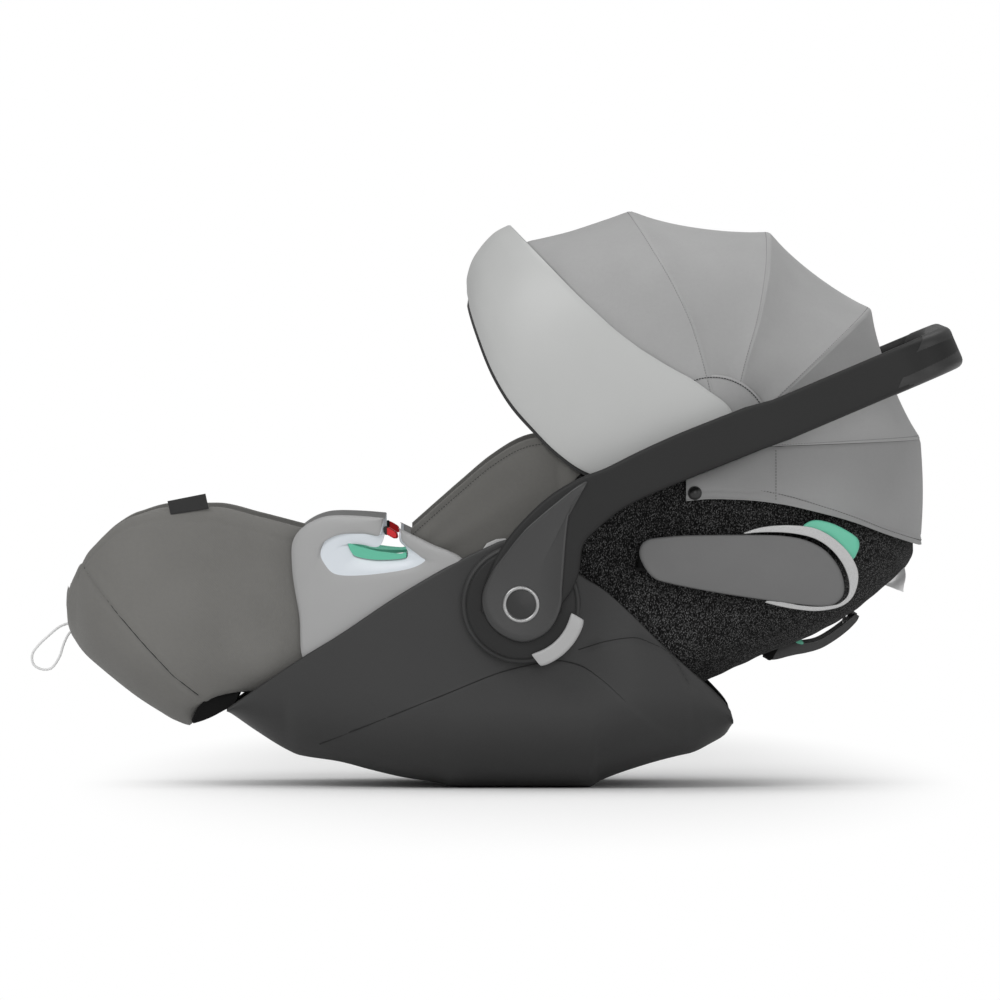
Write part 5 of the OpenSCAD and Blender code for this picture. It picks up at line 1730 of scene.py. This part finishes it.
def headrest():
    """A plastic wrap with a filled pad inside, rounder at its upper corners."""
    u = np.linspace(*HEAD_U, 24)
    outer = head_row(u, 124, HEAD_V + 1, 70, 60)
    inner = head_row(u, 121, HEAD_V + 4, 70, 57)
    made = solid("headrest_wrap", on_back(walls(outer, inner, 3)), BLACK_PLASTIC, crease=60)
    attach(made, "headrest")
    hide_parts("headrest_shell")
    u = np.linspace(HEAD_U[0] + 5, HEAD_U[1] - 5, 24)
    outer = head_row(u, 118.6, HEAD_V + 6.4, 64, 56)
    inner = head_row(u, 102, HEAD_V + 20, 64, 43)
    pad = solid("head_pad", on_back(walls(outer, inner, 5)), SEAT_CLOTH, crease=75)
    pad = soften(pad, "head_pad", 5, 1.6)
    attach(pad, "headrest")
    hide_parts("headrest_pad")
    rounded_copy("headrest_lever", "headrest_pull", BLACK_PLASTIC, 2.0, "headrest_lever", 3)


def harness():
    """Two shoulder straps with their pads, the crotch strap and the adjuster strap."""
    for side, sign in SIDES:
        # From the lower end of the shoulder pad to the buckle, in the backrest's own frame
        route = np.array([(7, -54, HEAD_V + 8), (-14, -50, -18), (-29.8, -42, 15.5), (-42.9, -30, 48),
                          (-50, -20.5, 66)]) * (1, sign, 1)
        path = on_back(spline(route, 40))
        width = np.linspace(26, 13.5, 40)
        strap = band(path, BACK_UP + 0.8 * BACK_WAY, width, 1.9)
        made = solid("shoulder_strap_" + side, strap, WEBBING, ends="cap")
        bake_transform(made)
        if side == "left":
            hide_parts("harness_straps")
        u = np.linspace(9, 83, 24)
        centre = np.stack([u, np.full(24, -55.0 * sign), np.full(24, HEAD_V + 8.5)], -1)
        foot, head = (np.clip(gap / 12, 0, 1) for gap in (u - 5, 87 - u))
        narrow = np.sin(foot * np.pi / 2) * np.sin(head * np.pi / 2)
        filled = band(on_back(centre), BACK_UP, 44 * narrow, 10.5 * narrow, 0.15)
        pad = solid("shoulder_pad_" + side, filled, SEAT_CLOTH, ends="cap")
        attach(pad, "headrest")
        if side == "left":
            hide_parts("shoulder_pads")
    crotch = [(-52, 0, 65.2), (-50, 0, 84), (-44, 0, 100), (-37, 0, 112), (-33.6, 0, 120.5)]
    strap = solid("crotch_strap", band(spline(crotch, 30), (1, 0, 0.2), 36, 2.6), WEBBING, ends="cap")
    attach(strap, "base")
    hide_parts("lower_straps")
    pull = [(-185.4, 0, 106.2), (-196, 0, 114.2), (-206, 0, 128.2), (-208.6, 0, 142), (-208.6, 0, 168)]
    tail = solid("adjuster_strap", band(spline(pull, 36), (1, 0, 0.8), 27, 1.9), WEBBING, ends="cap")
    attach(tail, "base")


headrest()
harness()
rounded_copy("buckle_body", "buckle_case", BLACK_PLASTIC, 2.6, "backrest", 4)
rounded_copy("buckle_button", "buckle_press", RED_PLASTIC, 1.6, "buckle_button", 3)
rounded_copy("adjuster_housing", "adjuster_case", BLACK_PLASTIC, 2.2, "base", 3)
rounded_copy("adjuster_button", "adjuster_press", TAB_PLASTIC, 1.4, "adjuster_button", 3)


# ---- Stage, light and camera ----
VIEW = np.array([-21, 0, 285])
DISTANCE = 20.0
ELEVATION = math.radians(1.0)
# Where the frame is a metre wide: this far, in metres, to the near side of the carrier's middle
NEAR_SIDE = 0.1
# Half lengths of the oval of floor that takes the real shadow and, greyer than the white beyond it, paints a
# broad soft shadow, along and across, in metres
SHADOW_OVAL_X = 0.44
SHADOW_OVAL_Y = 2.2


def backdrop():
    """A pale floor: near the object it takes the real shadow, and its grey there, fading over an oval to
    plain white to the camera farther out, paints a broad soft shadow.
    """
    paint, tree, shader = blank("studio_floor", Roughness=0.9)
    shader.inputs["Base Color"].default_value = (0.93, 0.93, 0.93, 1)
    shader.inputs["Specular IOR Level"].default_value = 0.1
    split = add(tree, "ShaderNodeSeparateXYZ", Vector=place(tree, False))
    x = sum_of(tree, "POWER", sum_of(tree, "MULTIPLY", split.outputs["X"], 1 / SHADOW_OVAL_X), 2.0)
    y = sum_of(tree, "POWER", sum_of(tree, "MULTIPLY", split.outputs["Y"], 1 / SHADOW_OVAL_Y), 2.0)
    # Painted shadow: the lit floor fades to camera-seen white over the oval, so that its grey reads as a
    # broad soft shadow
    fade = spread(tree, sum_of(tree, "ADD", x, y), 0.0, 1.1, 0.0, 1.0, interpolation_type="SMOOTHSTEP")
    rays = add(tree, "ShaderNodeLightPath").outputs
    seen = sum_of(tree, "MAXIMUM", rays["Is Camera Ray"], rays["Is Glossy Ray"])
    seen = sum_of(tree, "MAXIMUM", seen, rays["Is Transmission Ray"])
    share = sum_of(tree, "MULTIPLY", fade, seen)
    white = add(tree, "ShaderNodeEmission", Color=(1, 1, 1, 1), Strength=1.0)
    both = add(tree, "ShaderNodeMixShader", _0=share, _1=shader.outputs[0], _2=white.outputs[0])
    out = next(n for n in tree.nodes if n.type == "OUTPUT_MATERIAL")
    tree.links.new(both.outputs[0], out.inputs["Surface"])
    mesh = bpy.data.meshes.new("floor")
    size = 6.0
    square = [(x, y, -0.0005) for x, y in ((-size, -size), (size, -size), (size, size), (-size, size))]
    mesh.from_pydata(square, [], [(0, 1, 2, 3)])
    mesh.materials.append(paint)
    floor = new_object("floor", mesh)


def world():
    """Soft light from all round; the camera and glass see plain white."""
    made = bpy.data.worlds.new("studio")
    made.use_nodes = True
    bpy.context.scene.world = made
    tree = made.node_tree
    rays = add(tree, "ShaderNodeLightPath").outputs
    seen = sum_of(tree, "MAXIMUM", rays["Is Camera Ray"], rays["Is Transmission Ray"])
    ambient = 0.42
    strength = spread(tree, seen, 0.0, 1.0, ambient, 1.0)
    sky = tree.nodes["Background"]
    sky.inputs["Color"].default_value = (1, 1, 1, 1)
    tree.links.new(strength, sky.inputs["Strength"])


def lamp(name, spot, aim, size, power):
    """A soft rectangular lamp that looks at a point, all in metres."""
    light = bpy.data.lights.new(name, "AREA")
    light.shape = "RECTANGLE"
    light.size, light.size_y = size
    light.energy = power
    made = new_object(name, light)
    made.location = spot
    way = Vector(aim) - made.location
    made.rotation_euler = way.to_track_quat("-Z", "Y").to_euler()


def camera():
    """A long lens, almost level with the carrier and far off, so that its sides look nearly parallel."""
    lens = bpy.data.cameras.new("camera")
    made = new_object("camera", lens)
    aim = VIEW * MM
    way = np.array([0, -math.cos(ELEVATION), math.sin(ELEVATION)])
    made.location = aim + way * DISTANCE
    made.rotation_euler = (math.pi / 2 - ELEVATION, 0, 0)
    near = DISTANCE - NEAR_SIDE
    lens.sensor_width = 36
    lens.lens = 36 * near / 1.0
    lens.clip_end = 50
    bpy.context.scene.camera = made


backdrop()
world()
# Each lamp's place and aim in metres, its two sides in metres, and its power in watts
lamp("key", (-1.6, -2.2, 2.4), (0, 0, 0.25), (1.8, 1.4), 39)
lamp("front", (0.5, -3.4, 0.85), (0.05, 0, 0.3), (0.9, 0.9), 13)
lamp("top", (0.35, 0.2, 2.6), (0, 0, 0.2), (1.2, 3.2), 24)
lamp("side", (2.6, -1.6, 1.0), (0.1, 0, 0.3), (1.0, 1.6), 9)
camera()
bpy.context.scene.view_settings.view_transform = "Standard"
